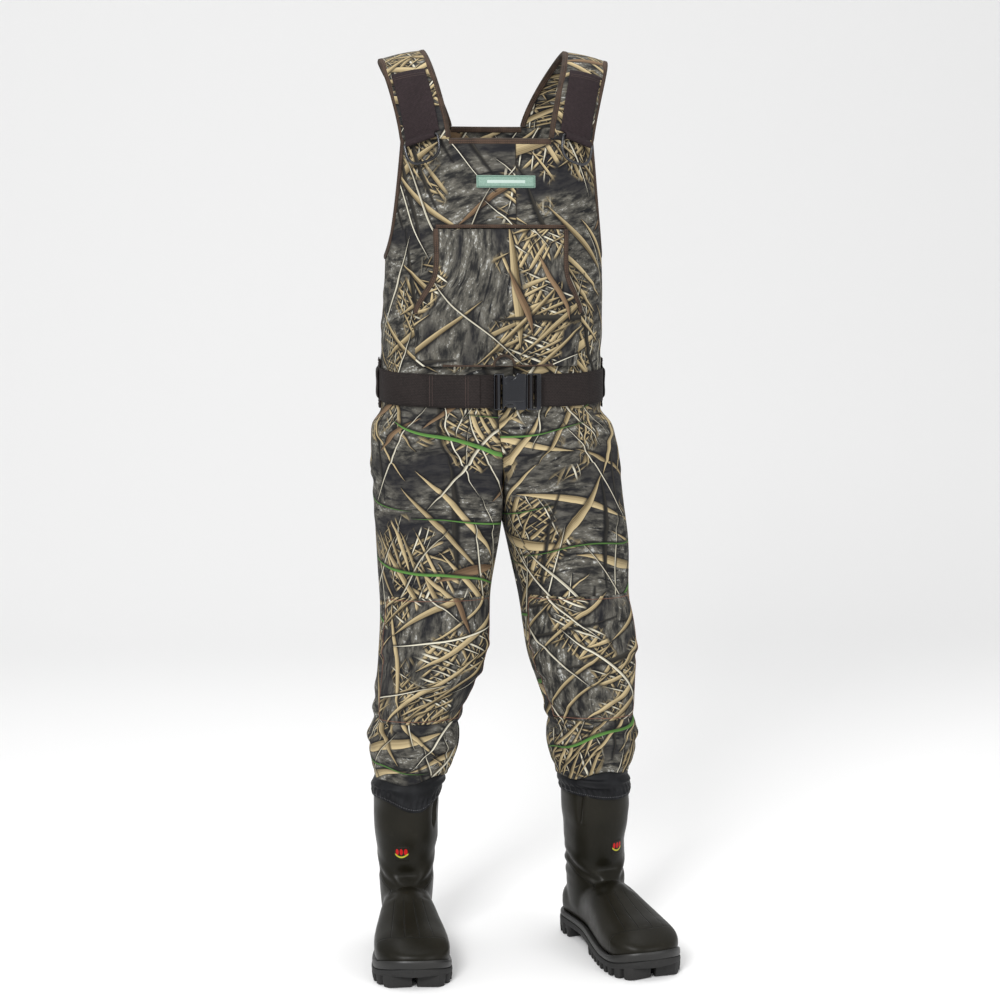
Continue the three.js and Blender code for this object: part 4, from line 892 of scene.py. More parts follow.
# ------------------------------------------------------------------ pieces on the chest
POCKET_TOP, POCKET_LOW = high("pocket_pouch").z, low("pocket_pouch").z
POCKET_MOUTH = 0.130
POUCH = 0.0035
BASE = 0.0042
pocket_half = through([
    (POCKET_LOW, 0.132), (POCKET_TOP - POCKET_MOUTH, 0.136),
    (POCKET_TOP - 0.8 * POCKET_MOUTH, lerp(0.136, 0.108, 0.4)),
    (POCKET_TOP - 0.55 * POCKET_MOUTH, 0.109), (POCKET_TOP, 0.108),
])


def on_chest(x, z, out):
    phi = angle_at(x, z, out)
    return on_body(phi, z, out + body_lift(phi, z))


def pouch_rise(share, z):
    upright = np.sin(pi * np.clip((z - POCKET_LOW) / (POCKET_TOP - POCKET_LOW), 0, 1)) ** 0.6
    gape = np.clip((z - (POCKET_TOP - POCKET_MOUTH)) / (0.35 * POCKET_MOUTH), 0, 1)
    return 0.012 * upright * lerp(1 - np.abs(share) ** 4, 1, gape)


POUCH_STROKES = [
    (-0.10, 1.03, -0.02, 1.075, 0.0022, 0.011, 0.006), (0.10, 1.03, 0.03, 1.08, 0.0022, 0.011, -0.006),
    (-0.09, 1.19, -0.02, 1.15, 0.0018, 0.012, 0.0), (0.09, 1.19, 0.03, 1.14, 0.0018, 0.012, 0.0),
    (-0.04, 1.01, 0.03, 1.03, 0.0015, 0.009, 0.004),
]


def pouch_point(u, z, out):
    share = 2 * u - 1
    x = share * pocket_half(z)
    soft = folds(x, z, POUCH_STROKES) + slack(x, z, 0.03, 0.0009, 21)
    soft = soft * smooth(POCKET_LOW, POCKET_LOW + 0.015, z) * (1 - smooth(POCKET_TOP - 0.012, POCKET_TOP, z))
    return on_chest(x, z, BASE + pouch_rise(share, z) + soft + out)


def pocket():
    rows = lambda v: lerp(POCKET_LOW, POCKET_TOP, v)
    pouch = cloth_piece("pocket_pouch_cloth", 130, 110, lambda u, v: pouch_point(u, rows(v), POUCH),
                        lambda u, v: ((2 * u - 1) * 0.13 + 11.3, rows(v) + 0.4), facing=(0, -1, 0),
                            thick=POUCH)
    finish_piece(pouch, "waders", "camo_neoprene", "pocket_pouch", materials=(POCKET_CAMO, FLEECE))
    lining_half = lambda z: pocket_half(z) - 0.006
    inner = cloth_piece("pocket_lining_cloth", 50, 50,
                        lambda u, v: on_chest((2 * u - 1)
                        * lining_half(lerp(POCKET_LOW + 0.004, POCKET_TOP - 0.004, v)),
                                              lerp(POCKET_LOW + 0.004, POCKET_TOP - 0.004, v), 0.0026),
                        lambda u, v: (u * 0.2, v * 0.2), facing=(0, -1, 0), thick=0.0012)
    finish_piece(inner, "waders", "fleece", "pocket_fleece_lining", materials=(FLEECE, FLEECE))
    for name, side in GROUND_SIDES.items():
        z = np.linspace(POCKET_TOP - POCKET_MOUTH - 0.004, POCKET_TOP - 0.001, 60)
        u = np.full_like(z, 0.5 + 0.5 * side)
        at = pouch_point(u, z, POUCH / 2)
        into = unit(pouch_point(u - side * 0.04, z, POUCH / 2) - at)
        up = np.gradient(at, axis=0)
        normal = unit(np.cross(up, into)) * side
        edge_tape(name + "_mouth_tape", at, normal, into, "waders", [name + "_pocket_binding"], cloth=POUCH)
    # Seam tape over the pocket's top, and the seam that closes it along the belt.
    for name, z0, half, node in (("pocket_top_seam", POCKET_TOP + 0.0045, 0.105, "pocket_top_tape"),
        ("pocket_low_seam", POCKET_LOW + 0.003, 0.09, None)):
        tape = cloth_piece(name, 60, 4, lambda u, v: on_chest((2 * u - 1) * half,
            z0 + (v - 0.5) * 0.006 + 0 * u, BASE + (0.0052 if node is None else -0.0012)),
                           lambda u, v: ((v - 0.5) * 0.006 - 0.0043, u * 2 * half), facing=(0, -1, 0),
                               thick=0.0012)
        finish_piece(tape, "waders", "brown_binding", *([node] if node else []), materials=(TAPE, TAPE))


pocket()


def chest_label():
    mid = centre("chest_label").z
    obj = cloth_piece("chest_label_cloth", 40, 8, lambda u, v: on_chest(0.008 + (2 * u - 1) * 0.048,
        mid + (v - 0.5) * 0.020, 0.0018 - 0.0008 * np.abs(2 * v - 1) ** 6),
                      lambda u, v: ((2 * u - 1) * 0.048, (v - 0.5) * 0.020), facing=(0, -1, 0), thick=0.0016)
    finish_piece(obj, "waders", "label_cloth", "chest_label", materials=(label_finish(),) * 2)


chest_label()


def waist_tab():
    base, out, shift = centre("waist_tab_binding").z - 0.0095, 0.0225, 0.008

    def face(r0, r1, lift):
        return lambda u, v: on_chest(shift + lerp(r0, r1, v) * np.cos(pi * u),
            base + lerp(r0, r1, v) * np.sin(pi * u), out + lift - 0.001 * v)

    tab = cloth_piece("waist_tab_cloth", 24, 8, face(0.0002, 0.0150, 0.002),
        lambda u, v: (v * 0.015 * np.cos(pi * u) + 3.3, v * 0.015 * np.sin(pi * u)), facing=(0, -1, 0),
        thick=0.002)
    finish_piece(tab, "waders", "camo_neoprene", "waist_tab", materials=(CAMO, LINING))
    a = np.linspace(0, pi, 40)
    path = on_chest(shift + 0.0168 * np.cos(a), base + 0.0168 * np.sin(a), out + 0.0015)
    ring = sweep("waist_tab_rim", path, [(0.0022 * math.cos(t), 0.0019 * math.sin(t))
        for t in np.linspace(0, 2 * pi, 12, endpoint=False)], up=(0, -1, 0))
    finish_piece(ring, "waders", "brown_binding", "waist_tab_binding", materials=(TAPE,))


waist_tab()

# ------------------------------------------------------------------ shoulder straps
STRAP_W, CREST_INSET, CREST_DROP = 0.076, 0.115, 0.016
NECK_FRONT, NECK_BACK = 0.081, 0.060


def rail(t, side, half, back_half, crest_half, drop):
    t = np.asarray(t, float)
    front = t <= 0.5
    start, base = np.where(front, half, back_half), np.where(front, CHEST_Z, BACK_Z)
    angle = pi * np.where(front, np.maximum(t, 0), 1 - t)
    depth = -(on_body(angle_at(start, base), base, -NEO / 2) - SHIFT)[..., 1]
    deep = np.where(front, depth, -depth * body_back(base) / body_front(base))
    height = CREST_Z - drop - base
    x = sway(base) + side * lerp(start, crest_half, np.maximum(np.sin(angle), 0) ** 1.3)
    z = base + height * np.where(t < 0, pi * t, np.sin(angle))
    return np.stack([x, -np.sign(deep) * np.abs(deep) * np.cos(angle), z], -1) + SHIFT


def bow(near, far, z):
    a, b, c = [-(on_body(angle_at(x, z), np.array(z)) - SHIFT)[..., 1] for x in (near, (near + far) / 2, far)]
    return float(b - (a + c) / 2)


CHEST_BOW, BACK_BOW = bow(NECK_FRONT, STRAP_HALF_FRONT, CHEST_Z), bow(NECK_BACK, STRAP_HALF_BACK, BACK_Z)


def strap_frame(side, u, t):
    u, t = np.broadcast_arrays(np.asarray(u, float), np.asarray(t, float))
    inner = lambda s_: rail(s_, side, NECK_FRONT, NECK_BACK, CREST_INSET, 0.0)
    outer = lambda s_: rail(s_, side, STRAP_HALF_FRONT, STRAP_HALF_BACK, CREST_INSET + STRAP_W - 0.002,
        CREST_DROP)
    mid = lambda s_: inner(s_) + (outer(s_) - inner(s_)) * u[..., None]
    along = unit(mid(t + 1e-3) - mid(t - 1e-3))
    across = unit(outer(t) - inner(t))
    normal = unit(np.cross(across, along)) * side
    crown = np.where(t < 0.5, lerp(CHEST_BOW, 0.002, np.clip(2 * t, 0, 1)),
        lerp(0.002, BACK_BOW, np.clip(2 * t - 1, 0, 1)))
    point = mid(t) + normal * (crown * 4 * u * (1 - u))[..., None]
    return point, along, across, normal


def on_strap(side, u, t, out):
    point, _, _, normal = strap_frame(side, u, t)
    return point + normal * np.asarray(out)[..., None]


BAND_TOP, BAND_TILT, BAND_UP, WEB = 0.275, 0.009, NEO / 2 + 0.0015, 0.002
BAND_SHARE = 0.054 / STRAP_W


def shoulder(name, side):
    body = cloth_piece(name + "_strap_cloth", 24, 160, lambda u, v: on_strap(side, u, lerp(0.0, 1.0, v),
        NEO / 2 + 0.0005 * np.sin(v * 40 + 2 * u) * np.sin(pi * v)),
                       lambda u, v: (u * STRAP_W + 6.1 + side, v * 0.52), thick=NEO, facing=(0, 0, 1))
    finish_piece(body, "waders", "camo_neoprene", name + "_shoulder_strap", materials=(CAMO, LINING))
    t = np.linspace(0.006, 0.994, 150)
    p, _, across, normal = strap_frame(side, 0.0, t)
    edge_tape(name + "_neck_tape", p, normal, across, "waders", [name + "_neck_binding"])
    # From the side seam up the chest, over the shoulder, and down the back.
    def arm(top_z, half, middle_angle, towards):
        share = np.linspace(0, 1, 70)
        z = lerp(UNDERARM_Z, top_z, 0.985 * share ** 2.6)
        phi = middle_angle(armhole(z, top_z, half))
        q = on_body(phi, z, -NEO / 2)
        inward = on_body(phi + towards * 0.15, z - 0.012) - on_body(phi, z)
        normal = unit(np.cross(on_body(phi + 0.01, z) - on_body(phi - 0.01, z),
            on_body(phi, z + 0.001) - on_body(phi, z - 0.001)))
        return q, normal, inward
    up = arm(CHEST_Z, STRAP_HALF_FRONT, lambda a: side * a, -side)
    down = [x[::-1][:-1] for x in arm(BACK_Z, STRAP_HALF_BACK, lambda a: side * (pi - a), side)]
    p, _, across, normal = strap_frame(side, 1.0, np.linspace(0.012, 0.988, 130))
    whole = [np.concatenate(parts) for parts in zip(up, (p, normal, -across), down)]
    edge_tape(name + "_armhole_tape", *whole, "waders", [name + "_armhole_binding"], closed=True)

    # The hook-and-loop band, sewn down along its top.
    low_edge = lambda u: 0.012 - BAND_TILT / (pi * 0.148) * (2 * u - 1)
    band_u = lambda u: 0.5 + (u - 0.5) * BAND_SHARE
    band = cloth_piece(name + "_band_webbing", 30, 90,
                       lambda u, v: on_strap(side, band_u(u), lerp(low_edge(u), BAND_TOP, v),
                       BAND_UP + WEB - 0.0006 * smooth(0.97, 1.0, v) + 0.0004 * np.sin(9 * v)),
                       lambda u, v: (u * 0.054, v * 0.118), thick=WEB, facing=(0, -0.7, 0.7))
    finish_piece(band, name + "_band", "brown_webbing", name + "_strap_band", materials=(BAND_WEB, BAND_WEB))
    for k, at in enumerate((0.243, 0.252)):
        u = np.linspace(0.04, 0.96, 40)
        line = on_strap(side, band_u(u), np.full_like(u, at), BAND_UP + WEB + 0.0002)
        thread = sweep(name + "_band_stitch_%d" % k, line, circle(0.0005, 6), up=(0, -0.7, 0.7))
        finish_piece(thread, name + "_band", "brown_webbing", materials=(DARK_THREAD,))

    # The fold that holds the ring's bar.
    a_in = on_strap(side, band_u(0.0), low_edge(0.0), BAND_UP + WEB / 2)
    a_out = on_strap(side, band_u(1.0), low_edge(1.0), BAND_UP + WEB / 2)
    axis = unit(a_out - a_in)
    _, _, _, n0 = strap_frame(side, 0.5, 0.01)
    forward = unit(n0 - axis * np.dot(n0, axis))
    down_way = unit(np.cross(axis, forward))
    down_way = down_way * (-1 if down_way[2] > 0 else 1)
    keeper_in = 0.0023 + 0.00035
    keeper_out = keeper_in + WEB
    pivot = on_strap(side, 0.5, low_edge(0.5), BAND_UP + WEB / 2) + down_way * (keeper_out
        + 0.0003) + forward * (keeper_out - WEB / 2 + 0.0015)
    turn = [(-5.6, -14), (-5.2, -10), (-2.6, -6.2), (1.6, -3.9), (3.5, -1.4), (3.7, 1.2), (2.3, 3.3),
        (0, 4.0), (-2.4, 3.3), (-3.8, 1.0), (-4.4, -2.2), (-5.0, -5.5), (-5.6, -9)]
    f_of, d_of = [through([(i / 12, row[c] / 1000) for i, row in enumerate(turn)]) for c in (0, 1)]

    def fold(u, v):
        x = (u - 0.5) * 0.0535
        settle = 0.0028 * (2 * u - 1) ** 2 * (1 - smooth(0.15, 0.4, v) + smooth(0.7, 1.0, v))
        return pivot + x[:, None] * axis + (f_of(v) - settle)[:, None] * forward + d_of(v)[:, None] * down_way

    loop = cloth_piece(name + "_ring_fold", 24, 60, fold, lambda u, v: (u * 0.054, v * 0.045), thick=0.0014,
        offset=0)
    finish_piece(loop, name + "_band", "brown_webbing", name + "_ring_keeper", materials=(BAND_WEB, BAND_WEB))

    # The ring: a straight bar and a bowed lower half, bent from round wire.
    bar_half, wire, drop = 0.0260, 0.0023, 0.038
    ring_half = bar_half + 2 * wire
    hang = unit(down_way + 0.16 * forward)
    path = [(x, 0.0) for x in np.linspace(-bar_half, bar_half, 24)]
    for k in range(1, 10):
        a = -pi / 2 + (pi / 2) * k / 10
        path.append((bar_half + 0.0046 * math.cos(a), 0.0046 + 0.0046 * math.sin(a)))
    for a in np.linspace(0, pi, 60):
        path.append((ring_half * float(power(math.cos(a), 0.72)),
            0.0050 + (drop - 0.0050) * math.sin(a) ** 0.62))
    for k in range(1, 10):
        a = pi + (pi / 2) * k / 10
        path.append((-bar_half + 0.0046 * math.cos(a), 0.0046 + 0.0046 * math.sin(a)))
    points = np.array([pivot + axis * x + hang * y for x, y in path])
    ring = sweep(name + "_ring_wire", points, circle(wire, 16), closed=True, up=np.cross(axis, hang))
    finish_piece(ring, name + "_ring", "dark_steel", name + "_d_ring", materials=(STEEL,))


for side_name, side in GROUND_SIDES.items():
    shoulder(side_name, side)

for name, top_z, half, middle, node in (
    ("chest_top_tape", CHEST_Z, NECK_FRONT, 0.0, "chest_top_binding"),
    ("back_top_tape", BACK_Z, NECK_BACK, pi, "back_top_binding"),
):
    reach = float(angle_at(half + 0.002, np.array(top_z)))
    phi = middle + np.linspace(-reach, reach, 90)
    zz = np.full_like(phi, top_z)
    normal = unit(np.cross(on_body(phi + 0.01, zz) - on_body(phi - 0.01, zz), np.array([0, 0, 1.0])))
    edge_tape(name, on_body(phi, zz, -NEO / 2), normal, np.tile([0, 0, -1.0], (len(phi), 1)), "waders",
        [node])


# ------------------------------------------------------------------ knee pads
def knee_pads():
    height = 0.38 * (CROTCH_Z - BOOT_H)
    top = KNEE_Z + 0.5 * height
    for name, side in GROUND_SIDES.items():
        lift = leg_surface(side)

        def where(u, v):
            spread = 1 - 0.16 * np.abs(2 * v - 1) ** 6
            return (2 * u - 1) * math.radians(68) * spread, top - height * v

        def place(u, v):
            phi, z = where(u, v)
            rim = np.maximum(np.abs(2 * u - 1), np.abs(2 * v - 1))
            puff = 0.0030 * (1 - rim ** 14)
            return on_leg(side, phi, z, lift(side * phi * ROUND_LEG(z), z) + 0.0016 + puff)

        pad = cloth_piece(name + "_knee_patch", 110, 110, place,
            lambda u, v: (u * 0.21 + 9.4 - side, -v * 0.215 + 2.2), facing=(0, -1, 0), thick=0.0030)
        finish_piece(pad, "waders", "camo_neoprene", name + "_knee_pad", materials=(POCKET_CAMO, LINING))
        v = np.linspace(0.02, 0.98, 60)
        for k, (us, vs) in enumerate(((np.linspace(0.03, 0.97, 60), np.full(60, 0.022)),
            (np.linspace(0.03, 0.97, 60), np.full(60, 0.978)),
                                      (np.full(60, 0.03), v), (np.full(60, 0.97), v))):
            line = place(us, vs) + unit(place(us, vs) - np.array([SHIFT[0] + side * 0.13, SHIFT[1], 0])
                * [1, 1, 0] - place(us, vs) * [0, 0, 1]) * 0.0003
            thread = sweep(name + "_knee_stitch_%d" % k, line, circle(0.0005, 6), up=(0, -1, 0))
            finish_piece(thread, "waders", "camo_neoprene", materials=(THREAD,))


knee_pads()


# ------------------------------------------------------------------ belt
BELT_OUT = 0.002
BELT_HALF = 0.027
BELT_FROM, BELT_TO = 0.0595, 0.0010


def on_belt(phi, up, out):
    flat = on_body(phi, np.full_like(phi, BELT_Z), out)
    flat[..., 2] = BELT_Z - 0.007 + 0.08 * (flat[..., 1] - SHIFT[1] + 0.120) + up
    return flat


def web_edge(v):
    """Webbing is a little thinner at its woven edges."""
    return -0.0004 * np.abs(2 * v - 1) ** 10


def belt():
    first = float(angle_at(BELT_FROM, np.array(BELT_Z), BELT_OUT))
    last = 2 * pi + float(angle_at(BELT_TO, np.array(BELT_Z), BELT_OUT))
    arc = lambda u: lerp(first, last, u)
    wave = lambda phi: 0.0008 * np.sin(3 * phi + 1) + 0.0005 * np.sin(7 * phi)
    web = cloth_piece("belt_web", 320, 8,
                      lambda u, v: on_belt(arc(u), (2 * v - 1) * BELT_HALF + wave(arc(u)),
                      BELT_OUT + WEB + web_edge(v)),
                      lambda u, v: (v * 0.054, arc(u) * 0.155), facing=(0, 1, 0), thick=WEB)
    finish_piece(web, "waders", "brown_webbing", "belt_webbing", materials=(BELT_WEB, BELT_WEB))
    # The socket's end is doubled back over itself and sewn down; the free end lies over the other side.
    for name, x0, x1, rows in (("belt_doubled_end", -0.0290, -0.112, (-0.048, -0.052, -0.104, -0.108)),
        ("belt_free_end", 0.064, 0.150, ())):
        a0, a1 = [float(angle_at(x, np.array(BELT_Z), BELT_OUT)) for x in (x0, x1)]
        over = cloth_piece(name, 60, 8, lambda u, v: on_belt(lerp(a0, a1, u),
            (2 * v - 1) * BELT_HALF * 0.985 + wave(lerp(a0, a1, u)),
            BELT_OUT + 2 * WEB + 0.0002 + web_edge(v)),
                           lambda u, v: (v * 0.054, u * 0.09), facing=(0, -1, 0), thick=0.0017)
        finish_piece(over, "waders", "brown_webbing", materials=(BELT_WEB, BELT_WEB))
        for k, x in enumerate(rows):
            at = float(angle_at(x, np.array(BELT_Z), BELT_OUT))
            up = np.linspace(-0.92, 0.92, 40) * BELT_HALF
            line = on_belt(np.full(40, at), up, BELT_OUT + 2 * WEB + 0.0004)
            thread = sweep("belt_stitch_%d" % k, line, circle(0.00045, 6), up=(0, -1, 0))
            finish_piece(thread, "waders", "brown_webbing", materials=(DARK_THREAD,))
    # Loops at the side seams and the middle of the back.
    over = BELT_OUT + WEB + 0.0009
    rise_of = through([(0, 0.0013), (0.16, 0.0013), (0.24, over + 0.0003), (0.5, over),
        (0.76, over + 0.0003), (0.84, 0.0013), (1, 0.0013)])
    for node, phi in (("right_belt_loop", -pi / 2), ("left_belt_loop", pi / 2), ("back_belt_loop", pi)):
        half = 0.1 * (0.5 if phi == pi else 1.0)

        def place(u, v):
            at = phi + (2 * u - 1) * half
            up = (2 * v - 1) * (BELT_HALF + 0.0135)
            out = rise_of(v) + WEB
            flat = on_belt(at, up, out)
            away = np.abs(up) > BELT_HALF + 0.003
            foot = on_body(at, flat[:, 2], out)
            flat[:, :2] = np.where(away[:, None], foot[:, :2], flat[:, :2])
            return flat

        loop = cloth_piece(node + "_web", 10, 48, place, lambda u, v: (u * 0.024, v * 0.09),
            facing=(math.sin(phi), -math.cos(phi), 0), thick=WEB)
        finish_piece(loop, "waders", "brown_webbing", node, materials=(BELT_WEB, BELT_WEB))
        for k, v in enumerate((0.05, 0.115, 0.885, 0.95)):
            u = np.linspace(0.08, 0.92, 16)
            line = place(u, np.full(16, v)) + 0.0003 * np.array([math.sin(phi), -math.cos(phi), 0])
            thread = sweep(node + "_stitch_%d" % k, line, circle(0.00045, 6),
                up=(math.sin(phi), -math.cos(phi), 0.0))
            finish_piece(thread, "waders", "brown_webbing", materials=(DARK_THREAD,))


belt()

# ------------------------------------------------------------------ side-release buckle
# Its own frame: x along the belt from the socket's middle, out from the body, z up.
BUCKLE = np.array([SHIFT[0] + BELT_SWAY + 0.018, low("buckle_socket").y + 0.0134, centre("buckle_socket").z])
RIM = 0.0297


def corner(cx, cz, r, start, count=6):
    return [(cx + r * math.cos(start + k * pi / 2 / count), cz + r * math.sin(start + k * pi / 2 / count))
        for k in range(count + 1)]


def rounded_box(x0, x1, z0, z1, r):
    return corner(x1 - r, z0 + r, r, -pi / 2) + corner(x1 - r, z1 - r, r, 0) + corner(x0 + r, z1 - r, r,
        pi / 2) + corner(x0 + r, z0 + r, r, pi)


def plate(name, outlines, out0, out1, bevel):
    """A flat moulding with rounded edges, cut to outlines in x and z, between two distances off the body."""
    curve = bpy.data.curves.new(name, "CURVE")
    curve.dimensions = "2D"
    curve.fill_mode = "BOTH"
    curve.extrude = (out1 - out0) / 2 - bevel
    curve.bevel_depth = bevel
    curve.bevel_resolution = 3
    curve.offset = -bevel
    for outline in outlines:
        spline = curve.splines.new("POLY")
        spline.points.add(len(outline) - 1)
        for point, (x, z) in zip(spline.points, outline):
            point.co = (x, z, 0, 1)
        spline.use_cyclic_u = True
    obj = bpy.data.objects.new(name, curve)
    bpy.context.collection.objects.link(obj)
    active(obj)
    bpy.ops.object.convert(target="MESH")
    obj = bpy.context.object
    mesh = obj.data
    co = np.empty(len(mesh.vertices) * 3)
    mesh.vertices.foreach_get("co", co)
    co = co.reshape(-1, 3)
    put = np.stack([co[:, 0], -(co[:, 2] + (out0 + out1) / 2), co[:, 1]], -1) + BUCKLE
    mesh.vertices.foreach_set("co", put.reshape(-1))
    mesh.update()
    merge_near(obj, 1e-6)
    outward(obj)
    return obj


def joined(main, *others):
    active(main)
    for other in others:
        other.select_set(True)
    bpy.ops.object.join()
    return main


def box_piece(name, lo, hi):
    """A bare block between two corners in the buckle's frame."""
    bpy.ops.mesh.primitive_cube_add(size=1)
    obj = bpy.context.object
    obj.name = name
    lo, hi = np.array(lo), np.array(hi)
    co = np.array([v.co[:] for v in obj.data.vertices]) + 0.5
    p = lo + co * (hi - lo)
    obj.data.vertices.foreach_set("co", (np.stack([p[:, 0], -p[:, 1], p[:, 2]], -1) + BUCKLE).reshape(-1))
    obj.data.update()
    outward(obj)
    return obj


def buckle():
    half = 0.026
    arc = lambda up: [(0.0104 * math.cos(a), up * (RIM - 0.0104 * math.sin(a)))
        for a in np.linspace(0, pi, 21)]
    outline = corner(half - 0.003, -RIM + 0.003, 0.003, -pi / 2) + corner(half - 0.003, RIM - 0.003, 0.003, 0)
    outline += arc(1) + corner(-half + 0.003, RIM - 0.003, 0.003, pi / 2) + corner(-half + 0.003,
        -RIM + 0.003, 0.003, pi) + arc(-1)[::-1]
    windows = [rounded_box(-0.0245, -0.0205, -0.0273, 0.0273, 0.001),
        rounded_box(-0.0165, -0.0120, -0.0273, 0.0273, 0.001)]
    socket = plate("buckle_socket_shell", [outline] + windows, 0.0, 0.0134, 0.0012)
    hollow = box_piece("socket_hollow", (-0.010, 0.003, -0.0267), (0.03, 0.0104, 0.0267))
    apply(socket, "BOOLEAN", operation="DIFFERENCE", object=hollow, solver="EXACT")
    bpy.data.objects.remove(hollow)
    raised = plate("socket_raised_face", [rounded_box(-0.0085, 0.0235, -0.0165, 0.0165, 0.004)], 0.0125,
        0.0140, 0.0006)
    socket = joined(socket, raised)
    smooth_faces(socket, 35)
    finish_piece(socket, "waders", "black_plastic", "buckle_socket", materials=(PLASTIC,))

    outer = rounded_box(0.0266, 0.0510, -RIM, RIM, 0.003)
    holes = [rounded_box(0.0292, 0.0323, -0.0273, 0.0273, 0.0008),
        rounded_box(0.0363, 0.0435, -0.0273, 0.0273, 0.0008)]
    plug = plate("buckle_plug_frame", [outer] + holes, 0.0008, 0.0118, 0.0012)
    tongue = plate("plug_tongue", [rounded_box(-0.0085, 0.0290, -0.009, 0.009, 0.002)], 0.0038, 0.0096,
        0.0008)
    ribs = [plate("plug_rib_%d" % k, [rounded_box(x, x + 0.0011, -0.024, 0.024, 0.0005)], 0.0110, 0.0124,
        0.0004) for k, x in enumerate((0.0452, 0.0472, 0.0492))]
    plug = joined(plug, tongue, *ribs)
    smooth_faces(plug, 35)
    finish_piece(plug, "plug", "black_plastic", "buckle_plug", materials=(PLASTIC,))

    bend = lambda a, b, c, n=8: [tuple(np.array(a) * (1 - t) ** 2 + np.array(b) * 2 * t * (1 - t)
        + np.array(c) * t * t) for t in np.linspace(0, 1, n + 1)[1:]]
    root, tip, pad = 0.0260, -0.0092, 0.0262
    shape = [(root, 0.0185), (root, 0.0225)] + bend((root, 0.0225), (0.012, 0.0225), (0.009, pad - 0.0015))
    shape += bend((0.009, pad - 0.0015), (0.006, pad), (0, pad)) + bend((0, pad), (-0.006, pad),
        (tip, pad - 0.006))
    shape += [(tip, 0.0155)] + bend((tip, 0.0155), (0.002, 0.0145), (0.009, 0.017)) + bend((0.009, 0.017),
        (0.015, 0.0185), (root, 0.0185))[:-1]
    for name, up in (("upper", 1), ("lower", -1)):
        arm = plate(name + "_prong_arm", [[(x, up * z) for x, z in shape]], 0.0034, 0.0100, 0.0007)
        ridges = [plate("pad_ridge", [rounded_box(x, x + 0.0009, up * 0.0205 - 0.0035, up * 0.0205 + 0.0035,
            0.0003)], 0.0095, 0.0104, 0.0003) for x in (-0.003, 0.0, 0.003)]
        arm = joined(arm, *ridges)
        smooth_faces(arm, 35)
        finish_piece(arm, name + "_prong", "black_plastic", name + "_release_prong", materials=(PLASTIC,))

    for node, x, body in (("belt_fixed_fold", -0.0185, "waders"), ("belt_adjuster_fold", 0.0343, "plug")):
        def wrap(u, v):
            a = 2 * pi * u
            px = x + 0.0043 * power(np.cos(a), 0.6)
            out = 0.005 + 0.0042 * power(np.sin(a), 0.6) + 0.0002 * np.sin(9 * v)
            return np.stack([px, -out, (2 * v - 1) * BELT_HALF], -1) + BUCKLE
        fold = cloth_piece(node + "_web", 40, 12, wrap, lambda u, v: (v * 0.054, u * 0.03), tube=True)
        outward(fold)
        apply(fold, "SOLIDIFY", thickness=0.0019, offset=-1.0)
        smooth_faces(fold, 50)
        finish_piece(fold, body, "brown_webbing", node, materials=(BELT_WEB,))


buckle()

# ------------------------------------------------------------------ boots
HEEL, TOE = 0.072, 0.248
TOE_OUT = {"right": math.radians(2), "left": math.radians(17)}
sole_top = through([(-HEEL, 0.030), (0, 0.029), (0.060, 0.026), (0.130, 0.021), (0.200, 0.022), (TOE, 0.032)])
foot_half = through([(-HEEL, 0.042), (-0.02, 0.041), (0.04, 0.041), (0.1, 0.0509), (0.155, 0.060),
    (0.2, 0.061), (TOE, 0.056)])
foot_high = through([(-HEEL, 0.078), (-0.04, 0.096), (0.03, 0.112), (0.07, 0.112), (0.11, 0.100),
    (0.155, 0.086), (0.2, 0.0761), (TOE, 0.060)])
shaft_half = through([(0.06, 0.042), (0.11, 0.046), (0.15, 0.047), (0.2, 0.054), (BOOT_H, 0.056)])
shaft_deep = through([(0.06, 0.058), (0.11, 0.062), (0.15, 0.059), (0.2, 0.063), (BOOT_H, 0.064)])
shaft_shift = through([(0.06, -0.002), (0.11, -0.004), (0.15, 0), (BOOT_H, 0)])


def foot_width(s, out=0.0):
    back = np.clip((-HEEL + 0.040 - s) / (0.040 + out), 0, 1)
    front = np.clip((s - TOE + 0.062) / (0.062 + out), 0, 1)
    return (foot_half(s) + out) * np.sqrt(np.maximum(0, 1 - back * back)) * np.maximum(0,
        1 - front ** 2.5) ** 0.4


def foot_bend(s, side):
    return -side * 0.007 * np.clip(s / TOE, -0.3, 1) ** 2


def station(share, out=0.0):
    return -HEEL - out + (HEEL + TOE + 2 * out) * (0.5 - 0.5 * np.cos(pi * np.clip(share, 0.004, 0.996)))


def boot_place(name, side, points):
    """From a boot's own frame, ankle over the origin and toe towards -Y, into the waders' frame."""
    turn = side * TOE_OUT[name]
    x, y, z = points[..., 0], points[..., 1], points[..., 2]
    return np.stack([x * math.cos(turn) - y * math.sin(turn) + side * 0.162,
        x * math.sin(turn) + y * math.cos(turn) - 0.012, z], -1) + SHIFT


def shaft_point(phi, z, out=0.0):
    phi, z = np.broadcast_arrays(np.asarray(phi, float), np.asarray(z, float))
    x = (shaft_half(z) + out) * power(np.sin(phi), 0.93)
    y = shaft_shift(z) - (shaft_deep(z) + out) * power(np.cos(phi), 0.93)
    return np.stack([x, y, z], -1)


def coords(obj):
    co = np.empty(len(obj.data.vertices) * 3)
    obj.data.vertices.foreach_get("co", co)
    return co.reshape(-1, 3)


def set_coords(obj, co):
    obj.data.vertices.foreach_set("co", np.asarray(co).reshape(-1))
    obj.data.update()


def bump_at(p, at, size):
    """A soft mound, 1 at its middle."""
    d = (p - np.array(at)) / np.array(size)
    return np.exp(-(d * d).sum(-1))


